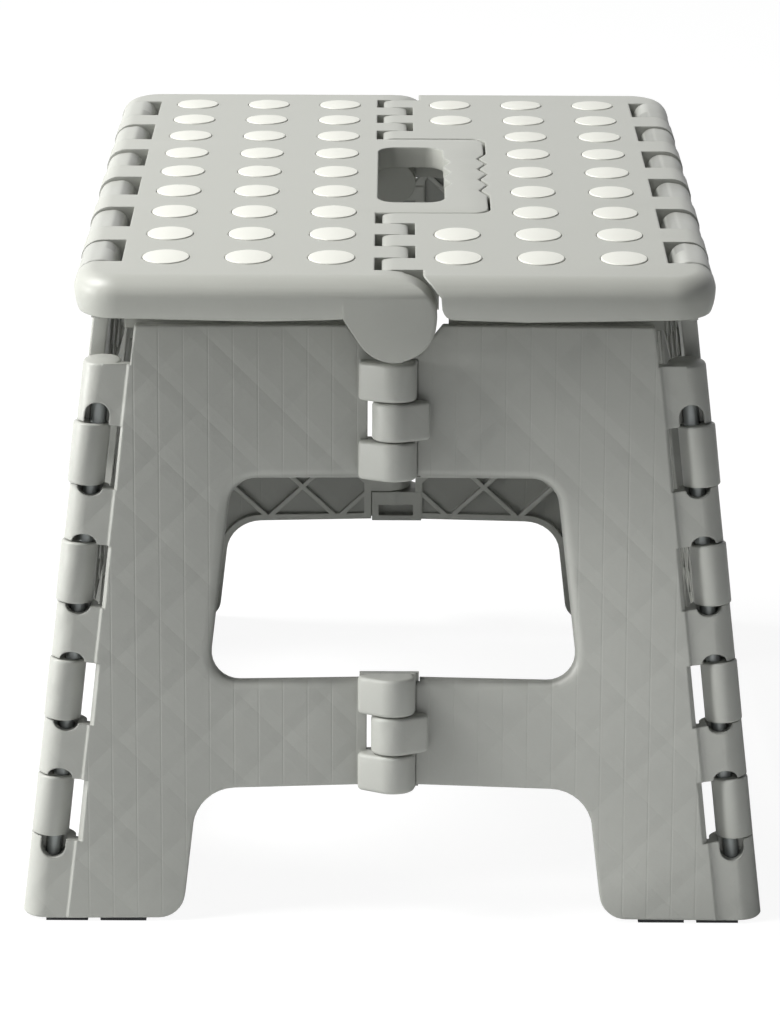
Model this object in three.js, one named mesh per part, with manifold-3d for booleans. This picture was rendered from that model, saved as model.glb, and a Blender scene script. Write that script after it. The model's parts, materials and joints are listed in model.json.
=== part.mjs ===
// A folding step stool, standing open on the floor.
// Two side panels, four half panels and a two-part seat are hinged on steel rods.
// Pulling up the handle lifts the middle of the seat, and the front and back fold inward.
// Millimetres, +Z up, the origin on the floor under the middle of the seat, the front at -Y.
import * as THREE from 'three';
import { mergeVertices } from 'three/addons/utils/BufferGeometryUtils.js';
import Module from 'manifold-3d';

const wasm = await Module();
wasm.setup();

// Whole stool
const seatHeight = 238;
const seatDepth = 286;
const baseHalfWidth = 131.9;
const baseHalfDepth = 154.7;
const apexHeight = 1108; // where the planes of all four walls meet, high above the seat
const gap = 0.3; // between pieces that touch
const sideGap = 0.4; // between the ends of hinge barrels
const overrun = 20; // how far a cutter passes the piece that it cuts

// Walls
const panelThickness = 5.7;
const skinThickness = 2.1;
const wallThickness = 2.2;
const ribThickness = 1.8;
const ribBay = 36;
const panelDrop = 24; // seat top down to the top edge of the front panel
const stepDrop = 13; // top edge down to the cut corner beside the side panel
const cornerCutWidth = 15.5;
const cornerStripWidth = 17;
const topBandHeight = 53.5;
const railHeight = 39;
const legHeight = 48.8;
const legWidth = 56.2;
const windowInset = 55.5;
const windowRadius = 10;
const archRadius = 12;
const toeRadius = 7;
const seamHalfGap = 0.3;

// Corner hinges: the side panel's barrels sit in notches of the front and back panels
const cornerPinRadius = 2.5;
const cornerPinInset = 7.2; // from both outer faces, measured on the floor
const cornerBarrelRadius = 7;
const cornerBarrelLength = 22;
const cornerBarrelCount = 4;
const lowestBarrelHeight = 41;
const highestBarrelDrop = 33; // cut corner down to the middle of the highest barrel
const innerBarrelRadius = 5.6; // the front panel's own barrels
const notchReach = 7.7; // pin centre to the notch's inner wall
const rodWindowLength = 7.5;
const rodWindowRadius = 3.2;
const cornerPinFoot = 10; // height of the rod's lower end

// Centre hinges of the front and back
const centrePinRadius = 2;
const middleBoreRadius = 3; // the pins wander a little in the right half's knuckles while folding
const centrePinProud = 1.9; // pin centre in front of the outer face, measured on the floor
const knuckleRadius = 7.8;
const knuckleLength = 14;
const knuckleReach = 14; // from the pin centre to where the knuckle meets the face
const knuckleNotch = 9.4;
const hingeInset = 0.8; // band's lower edge up to the hinge
const topNotchHalfWidth = 19;
const topNotchMargin = 1.5;

// Seat
const skirtDepth = 15;
const seatSkin = 2.6;
const seatWall = 2.6;
const seatCornerRadius = 16;
const rollRadius = 6;
const beamWidth = 14.5;
const seatRibRows = [-3.5, -1.5, 1.5, 3.5]; // between the rows of discs, counted from the middle row
const seamHalfWidth = 6.75; // the fingers of each half reach this far past the middle
const fingerPitch = 14.4;
const fingersEachEnd = 5;
const seatPinRadius = 3;
const seatKnuckleRadius = 8; // round the rod, under each finger
const seatWebReach = 4; // how far a finger's web passes the rod
// The seat hinges turn in a fixed ratio, so half way through folding the rod wanders in the right half
const wanderOut = 1.75; // middle of its path, outward and upward from the rod at rest
const wanderUp = 1.9;
const wanderRadius = 2.9; // of a circle that holds the path, with clearance
const sidePinRadius = 2.2;
const sidePinInset = 7.5; // seat edge to the side rod
const sidePinDepth = 1.8177; // outer face of the side wall to the middle of the rod
const sidePinDrop = 6.3;
const sideBarrelRadius = 5.2;
const sideBarrelCount = 6;
const sideBarrelPitch = 43.1;
const seatNotchLength = 26;
const seatNotchDepth = 15;
const barrelEndGap = 0.7;
const sidePanelDrop = 19; // seat top down to the side panel's top edge
const sideRodMargin = 9;

// Carry handle: a tongue of the left half that lies in a cut-out of the right half
const handleFront = 58;
const handleBack = 53.5;
const handleReach = 34;
const handleDepth = 11;
const handleRadius = 5;
const handleGap = 0.5;
const fingerHoleLeft = 6.5;
const fingerHoleRight = 18.5;
const fingerHoleFront = 44;
const fingerHoleBack = 39.5;
const fingerHoleRadius = 6;
const gripToothCount = 4;
const gripToothDepth = 2.6;
const gripToothPitch = 9;

// Grip discs, joined under the seat's skin by a runner in each column
const discRadius = 8.15;
const discEndMargin = 27.4; // seat end to the middle of the first disc of a column
const columnEdgeMargin = 30; // seat edge to the middle of the outermost column
const discProud = 0.3;
const discRows = 9;
const discColumnShares = [-2.768, -1.768, -0.768, 0.768, 1.768, 2.768];
const shortRows = 2; // rows at each end of the column that the handle interrupts
const shortColumn = 3;
const runnerWidth = 6;
const runnerThickness = 1.5;

// Feet
const soleThickness = 2.2;
const soleMargin = 3;

// Fineness of round forms
const pinSides = 10;
const boreSides = 8;
const barrelSides = 14;
const liningSides = 10;
const bossSides = 28;
const discSides = 12;
const arcSteps = 4;
const rollSteps = 2;

// Materials
const plastic = new THREE.MeshStandardMaterial({ color: 0xa3a39c, roughness: 0.5, metalness: 0 });
const seatPlastic = new THREE.MeshStandardMaterial({ color: 0xb4b4ad, roughness: 0.48, metalness: 0 });
const discRubber = new THREE.MeshStandardMaterial({ color: 0xeeeee8, roughness: 0.7, metalness: 0 });
const steel = new THREE.MeshStandardMaterial({ color: 0x55565a, roughness: 0.35, metalness: 0.9 });
const footRubber = new THREE.MeshStandardMaterial({ color: 0x3f4043, roughness: 0.85, metalness: 0 });

// Derived places
const sideSlope = baseHalfWidth / apexHeight;
const frontSlope = baseHalfDepth / apexHeight;
const panelTop = seatHeight - panelDrop;
const stepHeight = panelTop - stepDrop;
const windowTop = panelTop - topBandHeight;
const windowBottom = legHeight + railHeight;
const soleTop = soleThickness + gap;
const seatPinHeight = seatHeight - skirtDepth;
const bossRadius = skirtDepth;
const centreWallReach = seatKnuckleRadius + wanderOut + wanderRadius;
const sidePinHeight = seatHeight - sidePinDrop;
const sidePanelTop = seatHeight - sidePanelDrop;
const hingeLength = 3 * knuckleLength;
const outerX = (z) => (apexHeight - z) * sideSlope;
const outerY = (z) => (apexHeight - z) * frontSlope;
const sidePinX = outerX(sidePinHeight) - sidePinDepth;
const seatWidth = 2 * (sidePinX + sidePinInset);
const discPitch = (seatDepth - 2 * discEndMargin) / (discRows - 1);
const columnPitch = (seatWidth / 2 - columnEdgeMargin) / Math.max(...discColumnShares);

// Solids from three.js geometry
function solid(geometry) {
  const bare = geometry.clone();
  bare.deleteAttribute('normal');
  bare.deleteAttribute('uv');
  const merged = mergeVertices(bare);
  return new wasm.Manifold(new wasm.Mesh({
    numProp: 3,
    vertProperties: new Float32Array(merged.attributes.position.array),
    triVerts: new Uint32Array(merged.index.array),
  }));
}

const placed = (body, matrix) => body.transform(matrix.elements);
const joined = (bodies) => bodies.reduce((whole, body) => whole.add(body));
const without = (body, cutters) => cutters.reduce((rest, cutter) => rest.subtract(cutter), body);

function block(x0, x1, y0, y1, z0, z1) {
  const box = new THREE.BoxGeometry(x1 - x0, y1 - y0, z1 - z0);
  return solid(box.translate((x0 + x1) / 2, (y0 + y1) / 2, (z0 + z1) / 2));
}

// A plate with the outline in x and y, between two levels of z
function plate(points, low, high) {
  const outline = new THREE.Shape(points.map(([x, y]) => new THREE.Vector2(x, y)));
  const form = new THREE.ExtrudeGeometry(outline, { depth: high - low, bevelEnabled: false });
  return solid(form.translate(0, 0, low));
}

// A bar along z, in the frame of its axis
function bar(radius, low, high, sides) {
  const form = new THREE.CylinderGeometry(radius, radius, high - low, sides);
  return solid(form.rotateX(Math.PI / 2).translate(0, 0, (low + high) / 2));
}

// A bar along the world's y axis
function crossBar(radius, x, z, front, back, sides) {
  const form = new THREE.CylinderGeometry(radius, radius, back - front, sides);
  return solid(form.translate(x, (front + back) / 2, z));
}

// Outline with its corners rounded: each corner is [x, y, radius]
function rounded(corners) {
  const points = [];
  corners.forEach(([x, y, radius = 0], i) => {
    if (radius === 0) {
      points.push([x, y]);
      return;
    }
    const corner = new THREE.Vector2(x, y);
    const [bx, by] = corners[(i + corners.length - 1) % corners.length];
    const [ax, ay] = corners[(i + 1) % corners.length];
    const back = new THREE.Vector2(bx, by).sub(corner).normalize();
    const ahead = new THREE.Vector2(ax, ay).sub(corner).normalize();
    const half = Math.acos(THREE.MathUtils.clamp(back.dot(ahead), -1, 1)) / 2;
    const toCentre = back.clone().add(ahead).normalize().multiplyScalar(radius / Math.sin(half));
    const centre = corner.clone().add(toCentre);
    const start = back.multiplyScalar(radius / Math.tan(half)).add(corner).sub(centre);
    const end = ahead.multiplyScalar(radius / Math.tan(half)).add(corner).sub(centre);
    const turn = Math.atan2(start.cross(end), start.dot(end));
    for (let k = 0; k <= arcSteps; k += 1) {
      const spoke = start.clone().rotateAround(new THREE.Vector2(), (turn * k) / arcSteps).add(centre);
      points.push([spoke.x, spoke.y]);
    }
  });
  return points;
}

// The outline moved inward by a wall, each edge along its own normal
function inset(points, wall) {
  const inward = THREE.ShapeUtils.area(points.map(([x, y]) => new THREE.Vector2(x, y))) > 0 ? 1 : -1;
  const edge = (i) => {
    const [x0, y0] = points[(i + points.length) % points.length];
    const [x1, y1] = points[(i + 1 + points.length) % points.length];
    const length = Math.hypot(x1 - x0, y1 - y0);
    return { x: x0, y: y0, dx: (x1 - x0) / length, dy: (y1 - y0) / length };
  };
  return points.map((point, i) => {
    const a = edge(i - 1);
    const b = edge(i);
    const nx = -(a.dy + b.dy) * inward;
    const ny = (a.dx + b.dx) * inward;
    const scale = (2 * wall) / (nx * nx + ny * ny);
    return [point[0] + nx * scale, point[1] + ny * scale];
  });
}

// A strip of a given width between two points
function strip([x0, y0], [x1, y1], width, low, high) {
  const length = Math.hypot(x1 - x0, y1 - y0);
  const sx = (-(y1 - y0) / length) * (width / 2);
  const sy = ((x1 - x0) / length) * (width / 2);
  return plate([[x0 + sx, y0 + sy], [x0 - sx, y0 - sy], [x1 - sx, y1 - sy], [x1 + sx, y1 + sy]], low, high);
}

// Ribs that zigzag between two edges, each edge given by its two ends
function zigzag(lowEdge, highEdge, bay, low, high) {
  const along = ([p, q], share) => [p[0] + (q[0] - p[0]) * share, p[1] + (q[1] - p[1]) * share];
  const length = Math.hypot(lowEdge[1][0] - lowEdge[0][0], lowEdge[1][1] - lowEdge[0][1]);
  const bays = Math.max(1, Math.round(length / bay));
  const nodes = Array.from({ length: bays + 1 }, (_, k) => along(k % 2 ? highEdge : lowEdge, k / bays));
  return nodes.slice(1).map((node, k) => strip(nodes[k], node, ribThickness, low, high));
}

// Frame of a wall: x runs across it, y up its slope from the floor, z out of its outer face
function wallFrame(outward, slope, floorDistance) {
  const lean = Math.atan(slope);
  const up = new THREE.Vector3(0, 0, 1);
  const out = outward.clone().multiplyScalar(Math.cos(lean)).addScaledVector(up, Math.sin(lean));
  const rise = outward.clone().multiplyScalar(-Math.sin(lean)).addScaledVector(up, Math.cos(lean));
  const across = up.clone().cross(outward);
  const frame = new THREE.Matrix4().makeBasis(across, rise, out);
  return frame.setPosition(outward.clone().multiplyScalar(floorDistance));
}

// Frame of a hinge axis from a point on the floor to the apex: z runs up the axis
function axisFrame(x, y) {
  const foot = new THREE.Vector3(x, y, 0);
  const along = new THREE.Vector3(-x, -y, apexHeight).normalize();
  const across = new THREE.Vector3(1, 0, 0).addScaledVector(along, -along.x).normalize();
  const frame = new THREE.Matrix4().makeBasis(across, along.clone().cross(across), along);
  return { frame: frame.setPosition(foot), at: (z) => z / along.z };
}

const frontFrame = wallFrame(new THREE.Vector3(0, -1, 0), frontSlope, baseHalfDepth);
const leftFrame = wallFrame(new THREE.Vector3(-1, 0, 0), sideSlope, baseHalfWidth);
const cornerAxis = (s) => axisFrame(s * (baseHalfWidth - cornerPinInset), -(baseHalfDepth - cornerPinInset));
const centreAxis = axisFrame(0, -(baseHalfDepth + centrePinProud));

const barrelPitch = (stepHeight - highestBarrelDrop - lowestBarrelHeight) / (cornerBarrelCount - 1);
const barrelHeights = Array.from({ length: cornerBarrelCount }, (_, k) => lowestBarrelHeight + k * barrelPitch);
const hingeBottoms = [legHeight + hingeInset, windowTop + hingeInset];

// Bores for the rods
function cornerBore(s) {
  const axis = cornerAxis(s);
  const low = axis.at(cornerPinFoot) - gap;
  return placed(bar(cornerPinRadius + gap, low, axis.at(panelTop) + overrun, boreSides), axis.frame);
}

function centreBores(s) {
  const radius = s < 0 ? centrePinRadius + gap : middleBoreRadius;
  return hingeBottoms.map((bottom) => {
    const low = centreAxis.at(bottom) + wallThickness;
    const high = centreAxis.at(bottom) + hingeLength + overrun / 2;
    return placed(bar(radius, low, high, boreSides), centreAxis.frame);
  });
}

// Notches in a front half for the side panel's barrels, with the holes that show the rod
function cornerNotches(s) {
  const axis = cornerAxis(s);
  const half = cornerBarrelLength / 2 + sideGap;
  const reach = [-notchReach * s, overrun * s].sort((a, b) => a - b);
  const cuts = barrelHeights.map((z) => {
    const middle = axis.at(z);
    return block(reach[0], reach[1], -overrun, overrun, middle - half, middle + half);
  });
  const rodWindow = (start, end) => {
    const lie = new THREE.Matrix4().makeRotationX(Math.PI / 2).setPosition(0, 0, end);
    const round = placed(bar(rodWindowRadius, 0, overrun, barrelSides), lie);
    const [low, high] = [start, end].sort((a, b) => a - b);
    return round.add(block(-rodWindowRadius, rodWindowRadius, -overrun, 0, low, high));
  };
  const reachOut = half + rodWindowLength - rodWindowRadius;
  const lowest = axis.at(barrelHeights[0]);
  const highest = axis.at(barrelHeights[cornerBarrelCount - 1]);
  cuts.push(rodWindow(lowest, lowest - reachOut), rodWindow(highest, highest + reachOut));
  return cuts.map((cut) => placed(cut, axis.frame));
}

// One knuckle of a centre hinge, between two heights along its axis
function knuckle(s, low, high) {
  const face = centrePinProud;
  const reach = Math.hypot(knuckleReach, face);
  const angle = Math.atan2(face, knuckleReach) - Math.acos(knuckleRadius / reach);
  const tangent = [s * knuckleRadius * Math.cos(angle), knuckleRadius * Math.sin(angle)];
  const behind = face + skinThickness;
  const fairing = plate([[0, 0], tangent, [s * knuckleReach, face], [s * knuckleReach, behind], [0, behind]],
    low, high);
  return bar(knuckleRadius, low, high, barrelSides).add(fairing);
}

// The left half has the outer two knuckles of each centre hinge and the right half the middle one
function centreKnuckles(s) {
  const own = [];
  const cuts = [];
  for (const bottom of hingeBottoms) {
    for (let k = 0; k < 3; k += 1) {
      const low = centreAxis.at(bottom) + k * knuckleLength;
      const high = low + knuckleLength;
      const isOwn = (k === 1) === (s > 0);
      if (isOwn) {
        own.push(placed(knuckle(s, low + sideGap / 2, high - sideGap / 2), centreAxis.frame));
      } else {
        const room = knuckleRadius + sideGap;
        const reach = [-room * s, knuckleNotch * s].sort((a, b) => a - b);
        const cut = block(reach[0], reach[1], -overrun, overrun, low - sideGap / 2, high + sideGap / 2);
        cuts.push(placed(cut, centreAxis.frame));
      }
    }
  }
  return { own, cuts };
}

// Half of the front wall, s = -1 for the left half and 1 for the right one
function frontHalf(s) {
  const lean = Math.cos(Math.atan(frontSlope));
  const v = (z) => z / lean;
  const hingeTop = v(hingeBottoms[1]) + hingeLength + topNotchMargin;
  const corners = [
    [s * seamHalfGap, hingeTop],
    [s * topNotchHalfWidth, hingeTop],
    [s * topNotchHalfWidth, v(panelTop)],
    [s * (outerX(panelTop) - cornerCutWidth), v(panelTop)],
    [s * (outerX(stepHeight) - cornerCutWidth), v(stepHeight)],
    [s * outerX(stepHeight), v(stepHeight)],
    [s * outerX(soleTop), v(soleTop)],
    [s * (outerX(soleTop) - legWidth), v(soleTop), toeRadius],
    [s * (outerX(legHeight) - legWidth), v(legHeight), archRadius],
    [s * seamHalfGap, v(legHeight)],
    [s * seamHalfGap, v(windowBottom)],
    [s * (outerX(windowBottom) - windowInset), v(windowBottom), windowRadius],
    [s * (outerX(windowTop) - windowInset), v(windowTop), windowRadius],
    [s * seamHalfGap, v(windowTop)],
  ];
  const outline = rounded(s > 0 ? corners.toReversed() : corners);
  const stripEdge = (z) => s * (outerX(z) - cornerStripWidth);
  const keep = [
    plate([[stripEdge(0), 0], [stripEdge(panelTop), v(panelTop)],
      [s * baseHalfWidth, v(panelTop)], [s * baseHalfWidth, 0]], -panelThickness * 2, 0),
    plate([[0, 0], [s * knuckleReach, 0], [s * knuckleReach, v(panelTop)], [0, v(panelTop)]],
      -panelThickness * 2, 0),
  ];
  const pocket = without(plate(inset(outline, wallThickness), -panelThickness - overrun, -skinThickness), keep);
  const railLow = v(legHeight) + wallThickness / 2;
  const railHigh = v(windowBottom) - wallThickness / 2;
  const bandLow = v(windowTop) + wallThickness / 2;
  const bandHigh = v(panelTop) - wallThickness / 2;
  const legIn = (z) => s * (outerX(z) - windowInset + wallThickness / 2);
  const ribs = [
    ...zigzag([[s * knuckleReach, railLow], [stripEdge(legHeight), railLow]],
      [[s * knuckleReach, railHigh], [stripEdge(windowBottom), railHigh]], ribBay, -panelThickness, 0),
    ...zigzag([[s * knuckleReach, bandLow], [stripEdge(windowTop), bandLow]],
      [[s * knuckleReach, bandHigh], [stripEdge(panelTop), bandHigh]], ribBay, -panelThickness, 0),
    ...zigzag([[legIn(windowBottom), v(windowBottom)], [legIn(windowTop), v(windowTop)]],
      [[stripEdge(windowBottom), v(windowBottom)], [stripEdge(windowTop), v(windowTop)]],
      ribBay, -panelThickness, 0),
    ...zigzag([[legIn(soleTop), v(soleTop)], [legIn(legHeight), v(legHeight)]],
      [[stripEdge(soleTop), v(soleTop)], [stripEdge(legHeight), v(legHeight)]], ribBay, -panelThickness, 0),
  ];
  const blank = plate(outline, -panelThickness, 0);
  const shell = blank.subtract(pocket).add(joined(ribs).intersect(blank));
  const axis = cornerAxis(s);
  const lining = placed(bar(innerBarrelRadius, axis.at(0), axis.at(stepHeight), liningSides), axis.frame);
  const { own, cuts } = centreKnuckles(s);
  const below = block(-baseHalfWidth * 2, baseHalfWidth * 2, -baseHalfDepth * 2, 0, -overrun, soleTop);
  const above = block(-baseHalfWidth * 2, baseHalfWidth * 2, -baseHalfDepth * 2, 0, stepHeight, seatHeight);
  const inside = block(-baseHalfWidth, baseHalfWidth, -baseHalfDepth, 0, soleTop, stepHeight);
  const trimmedLining = lining.intersect(inside).subtract(above);
  const body = joined([placed(shell, frontFrame), trimmedLining, ...own]);
  return without(body, [below, ...cuts, ...cornerNotches(s), cornerBore(s), ...centreBores(s)]);
}

// The left side wall, which carries the seat's rod and the corner barrels
function sideWall() {
  const lean = Math.cos(Math.atan(sideSlope));
  const v = (z) => z / lean;
  const pinSlope = (baseHalfDepth - cornerPinInset) / apexHeight;
  const edgeY = (z) => (apexHeight - z) * pinSlope - innerBarrelRadius - sideGap;
  const half = [
    [edgeY(soleTop), v(soleTop)],
    [edgeY(sidePanelTop), v(sidePanelTop)],
  ];
  const arch = [
    [outerY(soleTop) - legWidth, v(soleTop), toeRadius],
    [outerY(legHeight) - legWidth, v(legHeight), archRadius],
  ];
  const flipped = (points) => points.map(([x, y, r]) => [-x, y, r]);
  const outline = rounded([...half, ...flipped(half).toReversed(), ...flipped(arch), ...arch.toReversed()]);
  const windowY = (z) => outerY(z) - windowInset;
  const opening = rounded([
    [windowY(windowBottom), v(windowBottom), windowRadius], [windowY(windowTop), v(windowTop), windowRadius],
    [-windowY(windowTop), v(windowTop), windowRadius], [-windowY(windowBottom), v(windowBottom), windowRadius],
  ]);
  const blank = plate(outline, -panelThickness, 0);
  const window = plate(opening, -panelThickness - overrun, overrun);
  const frame = plate(inset(opening, -wallThickness), -panelThickness * 2, 0);
  const pocket = plate(inset(outline, wallThickness), -panelThickness - overrun, -skinThickness).subtract(frame);
  const upright = (y) => [strip([y(soleTop), v(soleTop)], [y(sidePanelTop), v(sidePanelTop)],
    ribThickness, -panelThickness, 0)];
  const ribs = [-1, 1].flatMap((s) => [
    ...upright((z) => s * (edgeY(z) - cornerStripWidth)),
    ...zigzag([[s * windowY(soleTop), v(soleTop)], [s * windowY(sidePanelTop), v(sidePanelTop)]],
      [[s * (edgeY(soleTop) - cornerStripWidth), v(soleTop)],
        [s * (edgeY(sidePanelTop) - cornerStripWidth), v(sidePanelTop)]], ribBay, -panelThickness, 0),
  ]);
  const railLow = v(legHeight);
  const railHigh = v(windowBottom);
  ribs.push(...zigzag([[-windowY(legHeight), railLow], [windowY(legHeight), railLow]],
    [[-windowY(legHeight), railHigh], [windowY(legHeight), railHigh]], ribBay, -panelThickness, 0));
  ribs.push(...zigzag([[-windowY(windowTop), v(windowTop)], [windowY(windowTop), v(windowTop)]],
    [[-windowY(windowTop), v(sidePanelTop)], [windowY(windowTop), v(sidePanelTop)]],
    ribBay, -panelThickness, 0));
  const shell = blank.subtract(pocket).add(joined(ribs).intersect(blank)).subtract(window);
  const stalkHalf = seatNotchLength / 2 - barrelEndGap;
  const middles = sideBarrelMiddles();
  const stalks = middles.map((y) => plate([
    [y - stalkHalf, v(sidePanelTop) - wallThickness], [y + stalkHalf, v(sidePanelTop) - wallThickness],
    [y + stalkHalf, v(sidePinHeight)], [y - stalkHalf, v(sidePinHeight)],
  ], -panelThickness, 0));
  const barrels = middles.map((y) => crossBar(
    sideBarrelRadius, -sidePinX, sidePinHeight, y - stalkHalf, y + stalkHalf, barrelSides));
  const corner = cornerBarrels(1).concat(cornerBarrels(-1));
  const body = joined([placed(joined([shell, ...stalks]), leftFrame), ...barrels, ...corner]);
  const floorCut = block(-baseHalfWidth * 2, 0, -baseHalfDepth * 2, baseHalfDepth * 2, -overrun, soleTop);
  const bore = crossBar(sidePinRadius + gap, -sidePinX, sidePinHeight, -seatDepth / 2, seatDepth / 2, boreSides);
  const bores = [cornerBore(-1), mirrorY(cornerBore(-1))];
  return without(body, [floorCut, bore, ...bores]);
}

const mirrorY = (body) => body.mirror([0, 1, 0]);

function sideBarrelMiddles() {
  const first = (-(sideBarrelCount - 1) / 2) * sideBarrelPitch;
  return Array.from({ length: sideBarrelCount }, (_, k) => first + k * sideBarrelPitch);
}

// The side wall's barrels at its front corner, or mirrored at its back corner
function cornerBarrels(facing) {
  const axis = cornerAxis(-1);
  return barrelHeights.map((z) => {
    const low = axis.at(z) - cornerBarrelLength / 2;
    const high = axis.at(z) + cornerBarrelLength / 2;
    const inset0 = (cornerPinInset * (apexHeight - z)) / apexHeight;
    const neck = block(-inset0, panelThickness - inset0, 0, innerBarrelRadius + wallThickness * 2, low, high);
    const barrel = placed(bar(cornerBarrelRadius, low, high, barrelSides).add(neck), axis.frame);
    return facing > 0 ? barrel : mirrorY(barrel);
  });
}

// Which half owns each stretch of the seat's middle seam, from the handle outward
function seamStretches() {
  const stretches = [{ owner: 'left', front: -handleFront, back: handleBack, handle: true }];
  for (const direction of [-1, 1]) {
    const start = direction < 0 ? handleFront : handleBack;
    for (let k = 0; k < fingersEachEnd; k += 1) {
      const near = direction * (start + k * fingerPitch);
      const far = near + direction * fingerPitch;
      stretches.push({ owner: k % 2 ? 'left' : 'right', front: Math.min(near, far), back: Math.max(near, far) });
    }
    const near = direction * (start + fingersEachEnd * fingerPitch);
    const far = (direction * seatDepth) / 2;
    stretches.push({ owner: 'left', front: Math.min(near, far), back: Math.max(near, far), boss: true });
  }
  return stretches;
}

// The seat before it is parted: rolled top edge, skirt and an open underside
function seatOutline(inward) {
  const x = seatWidth / 2 - inward;
  const y = seatDepth / 2 - inward;
  const r = seatCornerRadius - inward;
  return rounded([[x, -y, r], [x, y, r], [-x, y, r], [-x, -y, r]]);
}

function seatBlank() {
  const layers = [plate(seatOutline(0), seatHeight - skirtDepth, seatHeight - rollRadius)];
  for (let k = 0; k < rollSteps; k += 1) {
    const low = ((Math.PI / 2) * k) / rollSteps;
    const high = ((Math.PI / 2) * (k + 1)) / rollSteps;
    layers.push(frustum(
      seatOutline(rollRadius * (1 - Math.cos(low))), seatOutline(rollRadius * (1 - Math.cos(high))),
      seatHeight - rollRadius + rollRadius * Math.sin(low), seatHeight - rollRadius + rollRadius * Math.sin(high),
    ));
  }
  return joined(layers);
}

// A solid between two outlines with the same number of points
function frustum(lower, upper, low, high) {
  const count = lower.length;
  const positions = [...lower.map(([x, y]) => [x, y, low]), ...upper.map(([x, y]) => [x, y, high])].flat();
  const index = [];
  for (let k = 0; k < count; k += 1) {
    const next = (k + 1) % count;
    index.push(k, next, count + next, k, count + next, count + k);
    if (k > 0 && next > 0) {
      index.push(0, next, k, count, count + k, count + next);
    }
  }
  const form = new THREE.BufferGeometry();
  form.setAttribute('position', new THREE.Float32BufferAttribute(positions, 3));
  form.setIndex(index);
  return solid(form);
}

const discSpots = (side) => discColumns().filter(({ x }) => Math.sign(x) === side).flatMap(
  ({ x, rows }) => rows.map((y) => [x, y]));

// Columns of discs: the one beside the handle has only its end rows
function discColumns() {
  const all = Array.from({ length: discRows }, (_, k) => (k - (discRows - 1) / 2) * discPitch);
  return discColumnShares.flatMap((share, column) => {
    const x = share * columnPitch;
    if (column !== shortColumn) {
      return [{ x, column, rows: all }];
    }
    return [{ x, column, rows: all.slice(0, shortRows), end: 'front' },
      { x, column, rows: all.slice(-shortRows), end: 'back' }];
  });
}

const runnerTop = seatHeight - seatSkin - gap;

function discStrip({ x, rows }) {
  const spread = discRadius / 2;
  const runner = block(x - runnerWidth / 2, x + runnerWidth / 2, rows[0] - spread,
    rows[rows.length - 1] + spread, runnerTop - runnerThickness, runnerTop);
  const discs = rows.map((y) => bar(discRadius, runnerTop - runnerThickness / 2, seatHeight + discProud, discSides)
    .translate([x, y, 0]));
  return joined([runner, ...discs]);
}

// The handle's outline, with the grip teeth along its outer edge
function handleOutline(grow) {
  const teeth = [];
  const first = (-gripToothCount / 2) * gripToothPitch;
  for (let k = 0; k < gripToothCount; k += 1) {
    const low = first + k * gripToothPitch;
    teeth.push([handleReach + grow, low], [handleReach + grow - gripToothDepth, low + gripToothPitch / 2]);
  }
  teeth.push([handleReach + grow, -first]);
  const root = -seamHalfWidth - seatWall;
  return rounded([[root, -handleFront - grow], [handleReach + grow, -handleFront - grow, handleRadius],
    ...teeth, [handleReach + grow, handleBack + grow, handleRadius], [root, handleBack + grow]]);
}

// Finger hole with scallops along the grip bar
function fingerHole() {
  const teeth = [];
  const first = (gripToothCount / 2) * gripToothPitch;
  for (let k = 0; k < gripToothCount; k += 1) {
    const high = first - k * gripToothPitch;
    teeth.push([fingerHoleRight, high], [fingerHoleRight + gripToothDepth, high - gripToothPitch / 2]);
  }
  teeth.push([fingerHoleRight, -first]);
  return rounded([[-fingerHoleLeft, -fingerHoleFront, fingerHoleRadius], [-fingerHoleLeft, fingerHoleBack, fingerHoleRadius],
    [fingerHoleRight, fingerHoleBack, fingerHoleRadius], ...teeth,
    [fingerHoleRight, -fingerHoleFront, fingerHoleRadius]].toReversed());
}

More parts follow.
